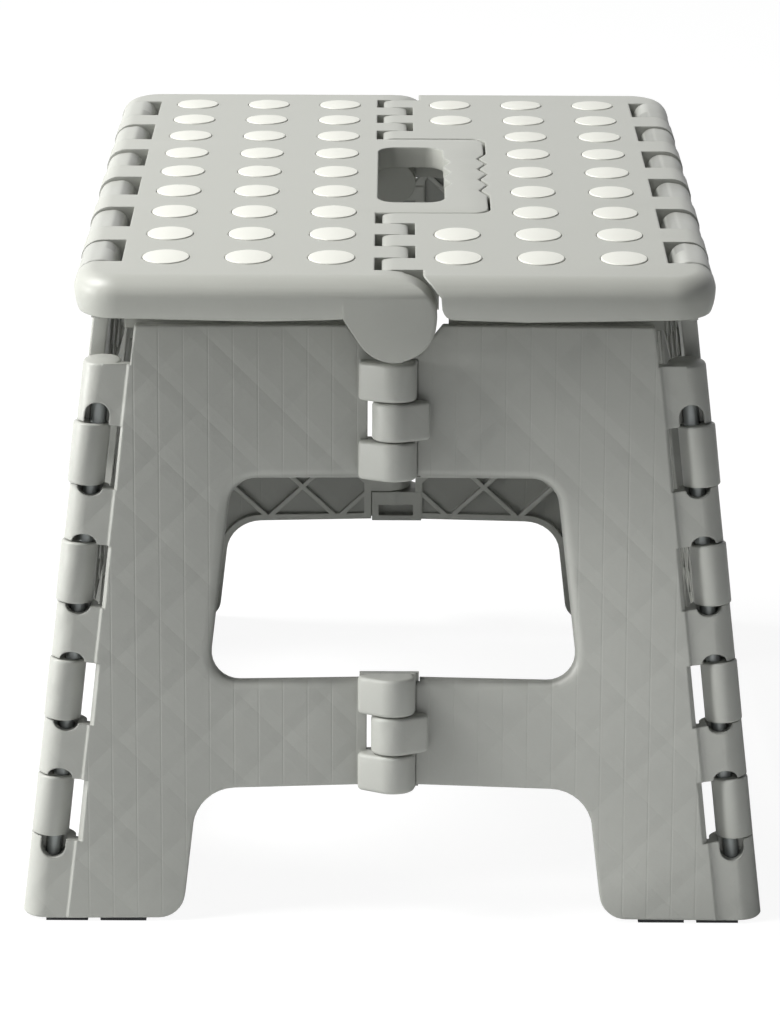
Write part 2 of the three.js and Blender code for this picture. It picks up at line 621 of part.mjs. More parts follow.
// One half of the seat, side = -1 for the left one and 1 for the right one
function seatHalf(side) {
  const blank = seatBlank();
  const halfWidth = seatWidth / 2;
  const halfDepth = seatDepth / 2;
  const low = seatHeight - skirtDepth;
  const mine = side < 0 ? 'left' : 'right';
  const edges = (a, b) => [Math.min(side * a, side * b), Math.max(side * a, side * b)];
  const slab = (a, b, front, back, bottom = low - overrun) => block(
    ...edges(a, b), front, back, bottom, seatHeight + overrun);

  // The half on its own side of the seam, open below, with walls, ribs and room over the runners
  const under = plate(seatOutline(seatWall), low - overrun, seatHeight - seatSkin);
  const beam = block(...edges(halfWidth - beamWidth, halfWidth), -halfDepth, halfDepth, low, seatHeight);
  const centreWall = block(...edges(centreWallReach, centreWallReach + seatWall), -halfDepth, halfDepth,
    low, seatHeight);
  const handleWall = side < 0
    ? plate(handleOutline(0), low, seatHeight)
    : plate(handleOutline(handleGap + seatWall), low, seatHeight);
  const ribs = seatRibRows.map((row) => block(...edges(centreWallReach, halfWidth),
    row * discPitch - ribThickness / 2, row * discPitch + ribThickness / 2, low, seatHeight));
  const edge = seamHalfWidth + sideGap;
  let body = blank.intersect(slab(edge, halfWidth + overrun, -halfDepth - overrun, halfDepth + overrun));
  body = body.subtract(without(under, [beam, centreWall, handleWall, ...ribs]));
  if (side < 0) {
    const tongue = plate(handleOutline(0), seatHeight - handleDepth, seatHeight);
    body = body.add(tongue.intersect(slab(-handleReach * 2, edge + seatWall, -halfDepth, halfDepth)));
  }

  // Fingers: a tab of the skin that crosses the middle, and a web and a knuckle round the rod
  const rooms = [];
  for (const { owner, front, back, handle, boss } of seamStretches()) {
    const near = front + sideGap / 2;
    const far = back - sideGap / 2;
    if (owner === mine && boss) {
      const end = front < 0 ? [-halfDepth, far] : [near, halfDepth];
      const round = crossBar(bossRadius, 0, seatPinHeight, ...end, bossSides);
      body = body.add(blank.intersect(slab(0, centreWallReach + seatWall, ...end))).add(round);
    } else if (owner === mine && !handle) {
      body = joined([
        body,
        blank.intersect(slab(-seamHalfWidth, edge + seatWall, near, far, seatHeight - seatSkin)),
        block(...edges(-seatWebReach, centreWallReach + seatWall), near, far, seatPinHeight, seatHeight - seatSkin),
        crossBar(seatKnuckleRadius, 0, seatPinHeight, near, far, barrelSides),
      ]);
    } else if (boss) {
      const end = front < 0 ? [-halfDepth - overrun, back + sideGap / 2] : [front - sideGap / 2, halfDepth + overrun];
      rooms.push(crossBar(bossRadius + wanderRadius, wanderOut, seatPinHeight + wanderUp, ...end, bossSides));
    }
  }
  if (side < 0) {
    for (const [front, back] of [[-handleFront + sideGap, -fingerHoleFront - seatWall],
      [fingerHoleBack + seatWall, handleBack - sideGap]]) {
      body = body.add(crossBar(seatKnuckleRadius, 0, seatPinHeight, front, back, barrelSides));
    }
    body = body.subtract(plate(fingerHole(), low - bossRadius - overrun, seatHeight + overrun));
  } else {
    body = body.subtract(plate(handleOutline(handleGap), low - overrun, seatHeight + overrun));
  }

  // Rod bores, notches for the side wall's barrels and holes for the discs
  const rodRoom = side < 0
    ? [seatPinRadius + gap, 0, seatPinHeight]
    : [seatPinRadius + wanderRadius, wanderOut, seatPinHeight + wanderUp];
  const bores = seatRods().map(({ front, back }) => crossBar(...rodRoom, front - gap, back + gap, barrelSides));
  bores.push(crossBar(sidePinRadius + gap, side * sidePinX, sidePinHeight,
    -sideRodEnd() - gap, sideRodEnd() + gap, boreSides));
  const notches = sideBarrelMiddles().map((y) => slab(halfWidth - seatNotchDepth, halfWidth + overrun,
    y - seatNotchLength / 2, y + seatNotchLength / 2));
  const runners = discColumns().filter(({ x }) => Math.sign(x) === side).map(({ x, rows }) => block(
    x - runnerWidth / 2 - gap, x + runnerWidth / 2 + gap, rows[0] - discRadius - gap,
    rows[rows.length - 1] + discRadius + gap, runnerTop - runnerThickness - gap, seatHeight - seatSkin));
  const holes = discSpots(side).map(([x, y]) => bar(
    discRadius + gap, runnerTop - runnerThickness - gap, seatHeight + overrun, discSides).translate([x, y, 0]));
  return without(body, [...rooms, ...runners, ...bores, ...notches, ...holes]);
}

function sideRodEnd() {
  return ((sideBarrelCount - 1) / 2) * sideBarrelPitch + seatNotchLength / 2 + sideRodMargin;
}

// The two rods in the middle of the seat, one in front of the handle and one behind it
function seatRods() {
  const reach = fingersEachEnd * fingerPitch + fingerPitch / 2;
  return [
    { front: -handleFront - reach, back: -fingerHoleFront - seatWall * 2 },
    { front: fingerHoleBack + seatWall * 2, back: handleBack + reach },
  ];
}

// Rubber soles under the legs
function frontSole() {
  const y = outerY(0) - panelThickness;
  return block(-outerX(0) + soleMargin, -outerX(0) + legWidth - toeRadius - soleMargin, -outerY(0) + gap,
    -y, 0, soleThickness);
}

function sideSole() {
  const x = outerX(0);
  const pinY = baseHalfDepth - cornerPinInset - innerBarrelRadius - sideGap;
  return block(-x + gap, -x + panelThickness, -pinY + soleMargin, -outerY(0) + legWidth - toeRadius - soleMargin,
    0, soleThickness);
}

// Mesh of a solid in its own material, without the crumbs that cutting can leave
function mesh(name, body, material) {
  const main = body.decompose().reduce((best, piece) => (piece.volume() > best.volume() ? piece : best));
  const { vertProperties, triVerts } = main.getMesh();
  const form = new THREE.BufferGeometry();
  form.setAttribute('position', new THREE.BufferAttribute(new Float32Array(vertProperties), 3));
  form.setIndex(new THREE.BufferAttribute(new Uint32Array(triVerts), 1));
  const piece = new THREE.Mesh(form, material);
  piece.name = name;
  return piece;
}

const stool = new THREE.Group();

// The back wall is the front wall turned half way round, and the right side is the left one turned
const turned = new THREE.Group();
turned.rotation.z = Math.PI;
stool.add(turned);

function pair(frontName, backName, body, material) {
  stool.add(mesh(frontName, body, material));
  turned.add(mesh(backName, body, material));
}

pair('front_panel_left', 'back_panel_right', frontHalf(-1), plastic);
pair('front_panel_right', 'back_panel_left', frontHalf(1), plastic);
pair('side_panel_left', 'side_panel_right', sideWall(), plastic);

for (const [s, here, there] of [[-1, 'front_left', 'back_right'], [1, 'front_right', 'back_left']]) {
  const axis = cornerAxis(s);
  const rod = placed(bar(cornerPinRadius, axis.at(cornerPinFoot), axis.at(stepHeight) - gap, pinSides), axis.frame);
  pair(`corner_rod_${here}`, `corner_rod_${there}`, rod, steel);
}

hingeBottoms.forEach((bottom, k) => {
  const low = centreAxis.at(bottom);
  const pin = placed(
    bar(centrePinRadius, low + wallThickness + gap, low + hingeLength - sideGap, pinSides), centreAxis.frame);
  const level = k ? 'upper' : 'lower';
  pair(`front_hinge_pin_${level}`, `back_hinge_pin_${level}`, pin, steel);
});

const mirrorX = (body) => body.mirror([1, 0, 0]);
pair('front_sole_left', 'back_sole_right', frontSole(), footRubber);
pair('front_sole_right', 'back_sole_left', mirrorX(frontSole()), footRubber);
pair('side_sole_front_left', 'side_sole_back_right', sideSole(), footRubber);
pair('side_sole_front_right', 'side_sole_back_left', mirrorX(sideSole()), footRubber);

stool.add(mesh('seat_left', seatHalf(-1), seatPlastic));
stool.add(mesh('seat_right', seatHalf(1), seatPlastic));
for (const column of discColumns()) {
  const name = column.end ? `grip_strip_${column.column + 1}_${column.end}` : `grip_strip_${column.column + 1}`;
  stool.add(mesh(name, discStrip(column), discRubber));
}

const sideRod = crossBar(sidePinRadius, -sidePinX, sidePinHeight, -sideRodEnd(), sideRodEnd(), pinSides);
pair('seat_rod_left', 'seat_rod_right', sideRod, steel);
const [frontRod, backRod] = seatRods().map(({ front, back }) => crossBar(
  seatPinRadius, 0, seatPinHeight, front, back, pinSides));
stool.add(mesh('seat_rod_front', frontRod, steel));
stool.add(mesh('seat_rod_back', backRod, steel));

export default stool;
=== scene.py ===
# %% [markdown]
# # A folding step stool
# The object is a small step stool of light grey plastic. Two side walls, two folding end walls and a
# seat in two halves turn on steel rods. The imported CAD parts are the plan. They could be rendered as
# they are, but they are plain, so this lesson builds the surfaces that are seen, each in the place of
# the CAD part that it stands for.

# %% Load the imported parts
import json
import math

import bmesh
import bpy
from mathutils import Matrix, Vector
from mathutils.geometry import convex_hull_2d


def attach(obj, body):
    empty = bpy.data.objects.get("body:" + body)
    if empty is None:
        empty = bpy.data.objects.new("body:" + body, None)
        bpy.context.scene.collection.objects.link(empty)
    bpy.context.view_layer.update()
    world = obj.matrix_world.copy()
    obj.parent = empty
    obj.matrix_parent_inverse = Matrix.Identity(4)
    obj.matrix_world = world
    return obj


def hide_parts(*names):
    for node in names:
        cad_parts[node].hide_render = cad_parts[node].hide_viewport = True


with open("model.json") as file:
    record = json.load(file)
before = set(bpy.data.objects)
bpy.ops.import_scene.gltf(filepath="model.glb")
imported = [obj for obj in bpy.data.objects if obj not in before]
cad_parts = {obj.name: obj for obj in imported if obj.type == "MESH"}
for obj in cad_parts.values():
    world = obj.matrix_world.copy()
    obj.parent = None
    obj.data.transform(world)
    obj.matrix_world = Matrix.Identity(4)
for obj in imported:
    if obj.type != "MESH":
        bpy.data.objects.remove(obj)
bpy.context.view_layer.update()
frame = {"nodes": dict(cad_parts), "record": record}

# %% [markdown]
# ## Sizes
# Lengths are written in millimetres, as on a maker's drawing, and a form is turned into metres when it
# is finished. All four walls lean towards one point high above the seat, the apex. The rods at the
# corners aim at it too, and that is what lets the stool fold flat.

# %% Sizes that several pieces share
MM = 0.001
SEAT_TOP = 238
SEAT_HALF_WIDTH = 111.3
SEAT_HALF_DEPTH = 143
BASE_HALF_WIDTH = 131.9
BASE_HALF_DEPTH = 154.7
APEX = 1108
# A wall is PANEL deep at its edges and ribs, and SKIN thick between them.
PANEL = 5.7
SKIN = 2.1
# The rubber under the feet, and the play between pieces that turn on each other.
SOLE = 1.3
GAP = 0.4
# Half the width of a rib, the step from rib to rib, and a place across and up where two ribs cross.
RIB = 1.35
RIB_PITCH = 29.6
CROSS = (23.9, 53)


def out_x(z):
    """Half the width between the outer faces of the side walls at a height."""
    return (APEX - z) * BASE_HALF_WIDTH / APEX


def out_y(z):
    """Half the depth between the outer faces of the front and back walls at a height."""
    return (APEX - z) * BASE_HALF_DEPTH / APEX


print("walls at the floor:", 2 * out_x(0), "by", 2 * out_y(0), "mm")

# %% [markdown]
# ## Camera
# A camera could be placed by eye, but then every edge is a little off. This one was fitted to the
# photograph from the corners, discs and hinges of the stool. It looks down on the seat from the front,
# through a long lens, so the walls keep their width.

# %% Camera
FOCAL_PIXELS = 3825
IMAGE_HEIGHT = 1015
SENSOR = 36
CAMERA_PLACE = (-1.4, -1404.7, 594.6)
LOOK_DOWN = 19.247
TILT = 0.24
camera = bpy.data.objects.new("camera", bpy.data.cameras.new("camera"))
bpy.context.scene.collection.objects.link(camera)
camera.data.lens = FOCAL_PIXELS * SENSOR / IMAGE_HEIGHT
camera.data.sensor_width = SENSOR
camera.matrix_world = (
    Matrix.Translation(Vector(CAMERA_PLACE) * MM)
    @ Matrix.Rotation(math.radians(90 - LOOK_DOWN), 4, "X")
    @ Matrix.Rotation(math.radians(TILT), 4, "Z")
)
bpy.context.scene.camera = camera
print("lens in mm:", round(camera.data.lens, 1))

# %% [markdown]
# ## A short way to write nodes
# Finishes, the world and rows of copies are node trees. They could be drawn by hand in the editor, but
# a script shows every value. Graph adds any node in one call. Value stands for a node's output, so
# shader maths is written as plain sums.

# %% A value that can be calculated with
class Value:
    """A node's output. Arithmetic on it adds Math nodes."""

    def __init__(self, graph, socket):
        self.graph, self.socket = graph, socket

    def math(self, operation, *others):
        return self.graph.maths(operation, self, *others)

    def out(self, name):
        """Another output of the same node."""
        return Value(self.graph, self.socket.node.outputs[name])

    def __add__(self, other):
        return self.math("ADD", other)

    def __radd__(self, other):
        return self.math("ADD", other)

    def __sub__(self, other):
        return self.math("SUBTRACT", other)

    def __rsub__(self, other):
        return self.graph.maths("SUBTRACT", other, self)

    def __mul__(self, other):
        return self.math("MULTIPLY", other)

    def __rmul__(self, other):
        return self.math("MULTIPLY", other)

    def __truediv__(self, other):
        return self.math("DIVIDE", other)

    def __abs__(self):
        return self.math("ABSOLUTE")


print("a Value can be added, subtracted, multiplied, divided and made absolute")

# %% A node tree in short calls
class Graph:
    """A node tree that is written in short calls."""

    def __init__(self, tree):
        self.tree = tree

    def add(self, kind, settings=None, inputs=None, output=0):
        """A new node with its settings and inputs, where an input is a value or another node's output."""
        node = self.tree.nodes.new(kind)
        for key, value in (settings or {}).items():
            setattr(node, key, value)
        for key, value in (inputs or {}).items():
            if isinstance(value, Value):
                self.tree.links.new(value.socket, node.inputs[key])
            else:
                node.inputs[key].default_value = value
        return Value(self, node.outputs[output]) if len(node.outputs) else node

    def maths(self, operation, *terms):
        return self.add("ShaderNodeMath", {"operation": operation}, dict(enumerate(terms)))


print("graph helper ready")

# %% [markdown]
# ## World
# The photograph has a white ground, and its shade is rather dark. A white world could give the ground,
# but it would light the shade as well. So the camera, mirrors and clear things see white, and the
# plastic gets a faint bluish fill.

# %% World
WHITE = (1, 1, 1, 1)
FILL_COLOUR = (0.88, 0.95, 1, 1)
FILL_STRENGTH = 0.05
world = bpy.data.worlds.new("studio")
bpy.context.scene.world = world
world.use_nodes = True
world.node_tree.nodes.clear()
air = Graph(world.node_tree)
rays = air.add("ShaderNodeLightPath")
seen = rays.math("MAXIMUM", rays.out("Is Glossy Ray")).math("MAXIMUM", rays.out("Is Transmission Ray"))
fill = air.add("ShaderNodeBackground", None, {"Color": FILL_COLOUR, "Strength": FILL_STRENGTH})
backdrop = air.add("ShaderNodeBackground", None, {"Color": WHITE, "Strength": 1.0})
sky = air.add("ShaderNodeMixShader", None, {0: seen, 1: fill, 2: backdrop})
air.add("ShaderNodeOutputWorld", None, {"Surface": sky})
bpy.context.scene.view_settings.view_transform = "Standard"
print("world nodes:", len(world.node_tree.nodes))

# %% [markdown]
# ## Lamps
# The real light comes from a broad window at the left and above. One lamp could stand for it, but two
# let the seat and the left wall be set apart. Square area lamps are used because they give soft edges
# to the shade. A faint card near the floor lifts the feet.

# %% Lamps
def lamp(name, place, aim, size, watts, colour):
    """A square area lamp that points at a place, in millimetres."""
    data = bpy.data.lights.new(name, "AREA")
    data.shape, data.size, data.energy, data.color = "SQUARE", size * MM, watts, colour
    holder = bpy.data.objects.new(name, data)
    bpy.context.scene.collection.objects.link(holder)
    direction = Vector(aim) - Vector(place)
    turn = direction.to_track_quat("-Z", "Y").to_matrix().to_4x4()
    holder.matrix_world = Matrix.Translation(Vector(place) * MM) @ turn
    return holder


DAYLIGHT = (1, 1, 0.98)
MIDDLE_OF_STOOL = (0, 0, 130)
# Each row has a name, a place, what the lamp points at, its side in mm, its watts and its colour.
LAMPS = [
    ("window_high", (-1130, -60, 1560), MIDDLE_OF_STOOL, 700, 39, DAYLIGHT),
    ("window_low", (-1480, -330, 500), MIDDLE_OF_STOOL, 520, 13.5, DAYLIGHT),
    ("low_card", (50, -350, 10), (0, -150, 20), 240, 0.11, (1, 1, 1)),
]
for lamp_values in LAMPS:
    lamp(*lamp_values)

# %% [markdown]
# ## Plastic, rubber and steel
# The stool is one grey plastic, with off-white rubber discs, dark rubber soles and steel rods. A
# picture could be laid on each, but a shader that works from the place on the object needs no picture
# and fits every piece. Rubber and steel are plain. The plastic is a little cloudy and grainy.

# %% Plain finishes
def linear(*rgb):
    """A colour written in the 0 to 255 steps of a picture, in linear light."""
    return (*[((v / 255 + 0.055) / 1.055) ** 2.4 for v in rgb], 1)


def finish(name, colour, roughness, metallic=0.0):
    """A new material with an empty tree, and the values for its shader."""
    material = bpy.data.materials.new(name)
    material.use_nodes = True
    material.node_tree.nodes.clear()
    graph = Graph(material.node_tree)
    return material, graph, {"Base Color": colour, "Roughness": roughness, "Metallic": metallic}


def closed(material, graph, sockets):
    """The material with its shader and output added."""
    shader = graph.add("ShaderNodeBsdfPrincipled", None, sockets)
    graph.add("ShaderNodeOutputMaterial", None, {"Surface": shader})
    return material


disc_rubber = closed(*finish("disc_rubber", linear(229, 229, 222), 0.5))
rod_steel = closed(*finish("rod_steel", linear(150, 154, 154), 0.4, 0.35))
sole_rubber = closed(*finish("sole_rubber", linear(52, 53, 55), 0.8))
print("disc rubber in linear light:", [round(v, 3) for v in linear(229, 229, 222)])

# %% Cloudy plastic
CLOUD_SCALE = 45
CLOUD_SPREAD = 0.05
GRAIN_SCALE = 900
GRAIN_SPREAD = 0.03
GLOSS_SPREAD = 0.12


def scaled(graph, colour, light):
    """A colour made lighter or darker by a value."""
    return graph.add("ShaderNodeVectorMath", {"operation": "SCALE"}, {0: colour, "Scale": light})


def speckled(graph, sockets, colour):
    """Cloudy light and dark in a moulded plastic, and a slightly uneven gloss."""
    place = graph.add("ShaderNodeTexCoord").out("Object")
    cloud = graph.add("ShaderNodeTexNoise", None, {"Vector": place, "Scale": CLOUD_SCALE, "Detail": 3})
    grain = graph.add("ShaderNodeTexNoise", None, {"Vector": place, "Scale": GRAIN_SCALE, "Detail": 2})
    light = (cloud - 0.5) * CLOUD_SPREAD + (grain - 0.5) * GRAIN_SPREAD + 1
    sockets["Base Color"] = scaled(graph, colour[:3], light)
    sockets["Roughness"] = (cloud - 0.5) * GLOSS_SPREAD + sockets["Roughness"]
    return place, grain


print("clouds about", round(1000 / CLOUD_SCALE), "mm wide")

# %% [markdown]
# ### Marks of the mould
# A moulded wall sinks a little over each rib behind it and shows fine upright lines, and the pockets
# between its ribs lie in shade. Each mark could be cut in the mesh, but that takes thousands of tiny faces.
# In the shader the marks are heights that follow the same sizes as the ribs do, and the pockets get
# painted shade in the colour.

# %% Fades and lines
def ramp(graph, value, start, end):
    """0 at a start and 1 at an end, held outside them."""
    inputs = {"Value": value, "From Min": start, "From Max": end}
    return graph.add("ShaderNodeMapRange", {"clamp": True}, inputs)


def line_pattern(graph, along_line, pitch, width):
    """1 in the middle of lines that repeat at a pitch, falling to 0 at a width."""
    away = abs((along_line / pitch + 1000).math("FRACT") - 0.5) * pitch
    return (1 - away / width).math("MAXIMUM", 0)


print("patterns ready")

# %% Marks on a wall and painted shade in its pockets, in metres
# Painted shade: the colour is darkened in the pockets between the ribs, where shade falls.
PAINTED_POCKET_SHADE = 0.3
BEHIND_SKIN, BEFORE_BACK, INSIDE_POCKET = (0.0015, 0.0026), (0.0056, 0.005), (0.016, 0.0175)
SINK_WIDTH, SINK_DEPTH = 0.006, 0.00016
LINE_PITCH, LINE_WIDTH, LINE_DEPTH = 0.0087, 0.0004, 0.00005
INSIDE_FIELD, ON_FACE, FACE_FADE = (0.0155, 0.0165), (-0.001, -0.0008), 0.0003


def painted_pocket_shade(graph, depth, inward):
    """Painted shade: 1 on a wall's skin, and less in the pockets behind it, where real shade falls."""
    behind_skin = ramp(graph, depth, *BEHIND_SKIN)
    before_back = ramp(graph, depth, *BEFORE_BACK)
    inside_pocket = ramp(graph, inward, *INSIDE_POCKET)
    return 1 - behind_skin * before_back * inside_pocket * PAINTED_POCKET_SHADE


def sink_marks(graph, height, across, up):
    """The height with a shallow band taken off it over every rib."""
    for sign in (-1, 1):
        start = CROSS[0] * MM + CROSS[1] * MM * sign
        run = abs(across) + up * sign - start + RIB_PITCH * MM / 2
        height = height + line_pattern(graph, run, RIB_PITCH * MM, SINK_WIDTH) * -SINK_DEPTH
    return height


def mould_lines(graph, height, across, depth, inward, face_depth):
    """The height with fine upright lines taken off it, on the outer face only."""
    inside = ramp(graph, inward, *INSIDE_FIELD)
    face = inside * ramp(graph, depth, *ON_FACE) * ramp(graph, depth, face_depth + FACE_FADE, face_depth)
    return height + line_pattern(graph, across, LINE_PITCH, LINE_WIDTH) * face * -LINE_DEPTH


print("a sink mark is", SINK_DEPTH / MM, "mm deep and a line", LINE_DEPTH / MM, "mm")

# %% Moulded plastic
# The end walls have their ribs across X and look along Y. The side walls are the other way round.
WALL_AXES = {"X": ("Y", BASE_HALF_DEPTH, BASE_HALF_WIDTH), "Y": ("X", BASE_HALF_WIDTH, BASE_HALF_DEPTH)}
FACE_DEPTH = {"X": 0.0036, "Y": 0.0004}
GRAIN_DEPTH = 0.00002
EDGE_RADIUS = 0.0009
UP_THE_SLOPE = 1.01
# The halves of a wall that stands a little folded catch the light differently on both sides.
LEAN, LEAN_FROM = 0.09, 0.0135


def wall_marks(graph, sockets, place, height, across):
    """The height with all marks of a wall. The pockets get painted shade in the colour."""
    axes = graph.add("ShaderNodeSeparateXYZ", None, {0: place})
    outward, half, half_across = WALL_AXES[across]
    run = axes.out(across)
    rise = (APEX * MM - axes.out("Z")) / APEX
    depth = rise * half - abs(axes.out(outward))
    inward = rise * half_across - abs(run)
    # Painted shade in the pockets, laid into the base colour.
    sockets["Base Color"] = scaled(graph, sockets["Base Color"], painted_pocket_shade(graph, depth, inward))
    height = sink_marks(graph, height, run, axes.out("Z") * UP_THE_SLOPE)
    height = mould_lines(graph, height, run, depth, inward, FACE_DEPTH[across])
    return height + (abs(run) - LEAN_FROM).math("MAXIMUM", 0) * LEAN


def moulded(name, colour, roughness, across=None):
    """Moulded plastic. On a wall, across is the axis that runs over its ribs."""
    material, graph, sockets = finish(name, colour, roughness)
    place, grain = speckled(graph, sockets, colour)
    height = grain * GRAIN_DEPTH
    if across is not None:
        height = wall_marks(graph, sockets, place, height, across)
    round_edge = graph.add("ShaderNodeBevel", {"samples": 4}, {"Radius": EDGE_RADIUS})
    sockets["Normal"] = graph.add("ShaderNodeBump", None, {
        "Height": height, "Strength": 1, "Distance": 1, "Normal": round_edge})
    return closed(material, graph, sockets)


wall_plastic = moulded("wall_plastic", linear(178, 179, 174), 0.42, "X")
side_plastic = moulded("side_plastic", linear(178, 179, 174), 0.42, "Y")
seat_plastic = moulded("seat_plastic", linear(177, 178, 172), 0.42)
print("nodes in the wall plastic:", len(wall_plastic.node_tree.nodes))

# %% A finish for each kind of part
BY_SLOT = {"panel": wall_plastic, "seat": seat_plastic, "disc": disc_rubber, "rod": rod_steel,
           "sole": sole_rubber}
slot_of = {part["node"]: part["material_slot"] for part in frame["record"]["subparts"]}
for name, node in frame["nodes"].items():
    node.data.materials.clear()
    node.data.materials.append(BY_SLOT[slot_of[name]])
print("finishes:", sorted(m.name for m in BY_SLOT.values()))

# %% [markdown]
# ## Floor
# The stool stands on white ground. A painted plane alone would come out grey where less light falls on
# it. A glow that only the camera sees makes it white, and what is left of the paint keeps the shadow.

# %% Floor
FLOOR_HALF = 3.0
GLOW = 1.15
GLOW_SHARE = 0.8
floor = bpy.data.objects.new("floor", bpy.data.meshes.new("floor"))
bpy.context.scene.collection.objects.link(floor)
floor_corners = [(x * FLOOR_HALF, y * FLOOR_HALF, 0) for x, y in [(-1, -1), (1, -1), (1, 1), (-1, 1)]]
floor.data.from_pydata(floor_corners, [], [(0, 1, 2, 3)])
floor_paint, floor_graph, floor_sockets = finish("floor_paint", linear(236, 237, 237), 0.9)
paint = floor_graph.add("ShaderNodeBsdfPrincipled", None, floor_sockets)
white = floor_graph.add("ShaderNodeEmission", None, {"Color": WHITE, "Strength": GLOW})
to_camera = floor_graph.add("ShaderNodeLightPath").out("Is Camera Ray") * GLOW_SHARE
mixed = floor_graph.add("ShaderNodeMixShader", None, {0: to_camera, 1: paint, 2: white})
floor_graph.add("ShaderNodeOutputMaterial", None, {"Surface": mixed})
floor.data.materials.append(floor_paint)
print("floor laid,", 2 * FLOOR_HALF, "m wide")

# %% [markdown]
# ## Outlines
# Moulded pieces are flat forms with round corners. They could be modelled by hand from a cube, but an
# outline written as numbers can be measured and changed. A corner is written with its radius, and these
# helpers work out the points of the curve.

# %% Outlines with round corners
CORNER_STEPS = 8


def counter_clockwise(points):
    """The points in the order that makes faces point outward."""
    area = sum(a[0] * b[1] - b[0] * a[1] for a, b in zip(points, points[1:] + points[:1])) / 2
    return points if area > 0 else points[::-1]


def rounded(corners):
    """A polygon whose corners are (x, y) or (x, y, radius)."""
    points = []
    for i, (x, y, *radius) in enumerate(corners):
        here = Vector((x, y))
        if not radius or not radius[0]:
            points.append((x, y))
            continue
        back = (Vector(corners[i - 1][:2]) - here).normalized()
        ahead = (Vector(corners[(i + 1) % len(corners)][:2]) - here).normalized()
        half_angle = back.angle(ahead) / 2
        centre = here + (back + ahead).normalized() * radius[0] / math.sin(half_angle)
        start = here + back * radius[0] / math.tan(half_angle) - centre
        end = here + ahead * radius[0] / math.tan(half_angle) - centre
        turn = math.atan2(start.x * end.y - start.y * end.x, start.dot(end))
        for k in range(CORNER_STEPS + 1):
            spoke = Matrix.Rotation(turn * k / CORNER_STEPS, 2) @ start + centre
            points.append((spoke.x, spoke.y))
    return counter_clockwise(points)


print("a rounded square has", len(rounded([(0, 0, 1), (9, 0, 1), (9, 9, 1), (0, 9, 1)])), "points")

# %% Other outlines
def inset(points, wall):
    """The outline moved inward by a wall, each side along its own normal."""
    sides = [(Vector(b) - Vector(a)).normalized() for a, b in zip(points, points[1:] + points[:1])]
    inner = []
    for i, point in enumerate(points):
        normal = Vector((-sides[i - 1].y - sides[i].y, sides[i - 1].x + sides[i].x))
        inner.append(tuple(Vector(point) + normal * 2 * wall / max(normal.length_squared, 0.4)))
    return inner


def circle(radius, sides=48, x=0, y=0):
    angles = [2 * math.pi * k / sides for k in range(sides)]
    return [(x + radius * math.cos(a), y + radius * math.sin(a)) for a in angles]


def hull(points):
    """The outline of a band stretched round the points."""
    return [points[i] for i in convex_hull_2d([Vector(p) for p in points])]


def rectangle(x0, x1, y0, y1):
    return [(x0, y0), (x1, y0), (x1, y1), (x0, y1)]


def mirrored(points):
    """The points of the other half, so that both halves make one outline."""
    return [(-x, *rest) for x, *rest in points[::-1]]


print("a square inset by 2 starts at", inset(rectangle(0, 9, 0, 9), 2)[0])

# %% [markdown]
# ## Solids
# A moulding is a solid with soft rims and openings. A modifier could thicken and bevel an outline, but
# here each rim needs its own radius. So an outline is lofted through levels, and solids are then joined
# and cut by the Boolean modifier's manifold solver, which keeps them closed.

# %% Plates
RIM_STEPS = 4


def loft(rings):
    """A closed solid through rings of points that run counter-clockwise seen from the last ring."""
    count, last = len(rings[0]), (len(rings) - 1) * len(rings[0])
    faces = [list(range(count))[::-1], list(range(last, last + count))]
    for start in range(0, last, count):
        for k in range(count):
            a, b = start + k, start + (k + 1) % count
            faces.append((a, b, b + count, a + count))
    mesh = bpy.data.meshes.new("form")
    mesh.from_pydata([p for ring in rings for p in ring], [], faces)
    return mesh


def at_level(points, level):
    return [(x, y, level) for x, y in points]


def plate(outline, low, high, rim_low=0, rim_high=0):
    """A plate between two levels, with its lower and upper rims rounded."""
    outline = counter_clockwise(outline)
    quarter = [math.pi / 2 * k / RIM_STEPS for k in range(RIM_STEPS + 1)]
    rings = []
    for a in quarter if rim_low else quarter[-1:]:
        level = low + rim_low * (1 - math.cos(a))
        rings.append(at_level(inset(outline, rim_low * (1 - math.sin(a))), level))
    for a in quarter if rim_high else quarter[:1]:
        level = high - rim_high * (1 - math.sin(a))
        rings.append(at_level(inset(outline, rim_high * (1 - math.cos(a))), level))
    return loft(rings)


def block(x0, x1, y0, y1, z0, z1):
    return plate(rectangle(x0, x1, y0, y1), z0, z1)


print("a plate with rims has", len(plate(rectangle(0, 9, 0, 9), 0, 2, 0.5, 0.5).polygons), "faces")

# %% Moving and turning
STAND = Matrix.Rotation(math.pi / 2, 4, "X")
TURN = Matrix.Rotation(math.pi, 4, "Z")


def moved(mesh, matrix):
    mesh.transform(matrix)
    return mesh


def turned(mesh):
    """A copy turned half way round, for the other end of the stool."""
    return moved(mesh.copy(), TURN)


def section(outline, front, back, rim_front=0, rim_back=0):
    """A bar with an outline in x and z, from front to back along y."""
    return moved(plate(outline, -back, -front, rim_back, rim_front), STAND)


def cross_bar(radius, x, z, front, back, rim=0, sides=48):
    """A round bar from front to back."""
    return section(circle(radius, sides, x, z), front, back, rim, rim)


print("a bar has", len(cross_bar(2, 0, 0, -5, 5).polygons), "faces")

# %% Joining and cutting
def carve(base, tools, operation="DIFFERENCE"):
    """The base with every tool cut from it, joined to it or kept of it."""
    holder = bpy.data.objects.new("work", base)
    bpy.context.scene.collection.objects.link(holder)
    helpers = []
    for tool in tools:
        helpers.append(bpy.data.objects.new("tool", tool))
        step = holder.modifiers.new("carve", "BOOLEAN")
        step.object, step.operation, step.solver = helpers[-1], operation, "MANIFOLD"
    ready = holder.evaluated_get(bpy.context.evaluated_depsgraph_get())
    result = bpy.data.meshes.new_from_object(ready)
    for item in [holder, *helpers]:
        bpy.data.objects.remove(item)
    return result


def join(base, *others):
    return carve(base, others, "UNION")


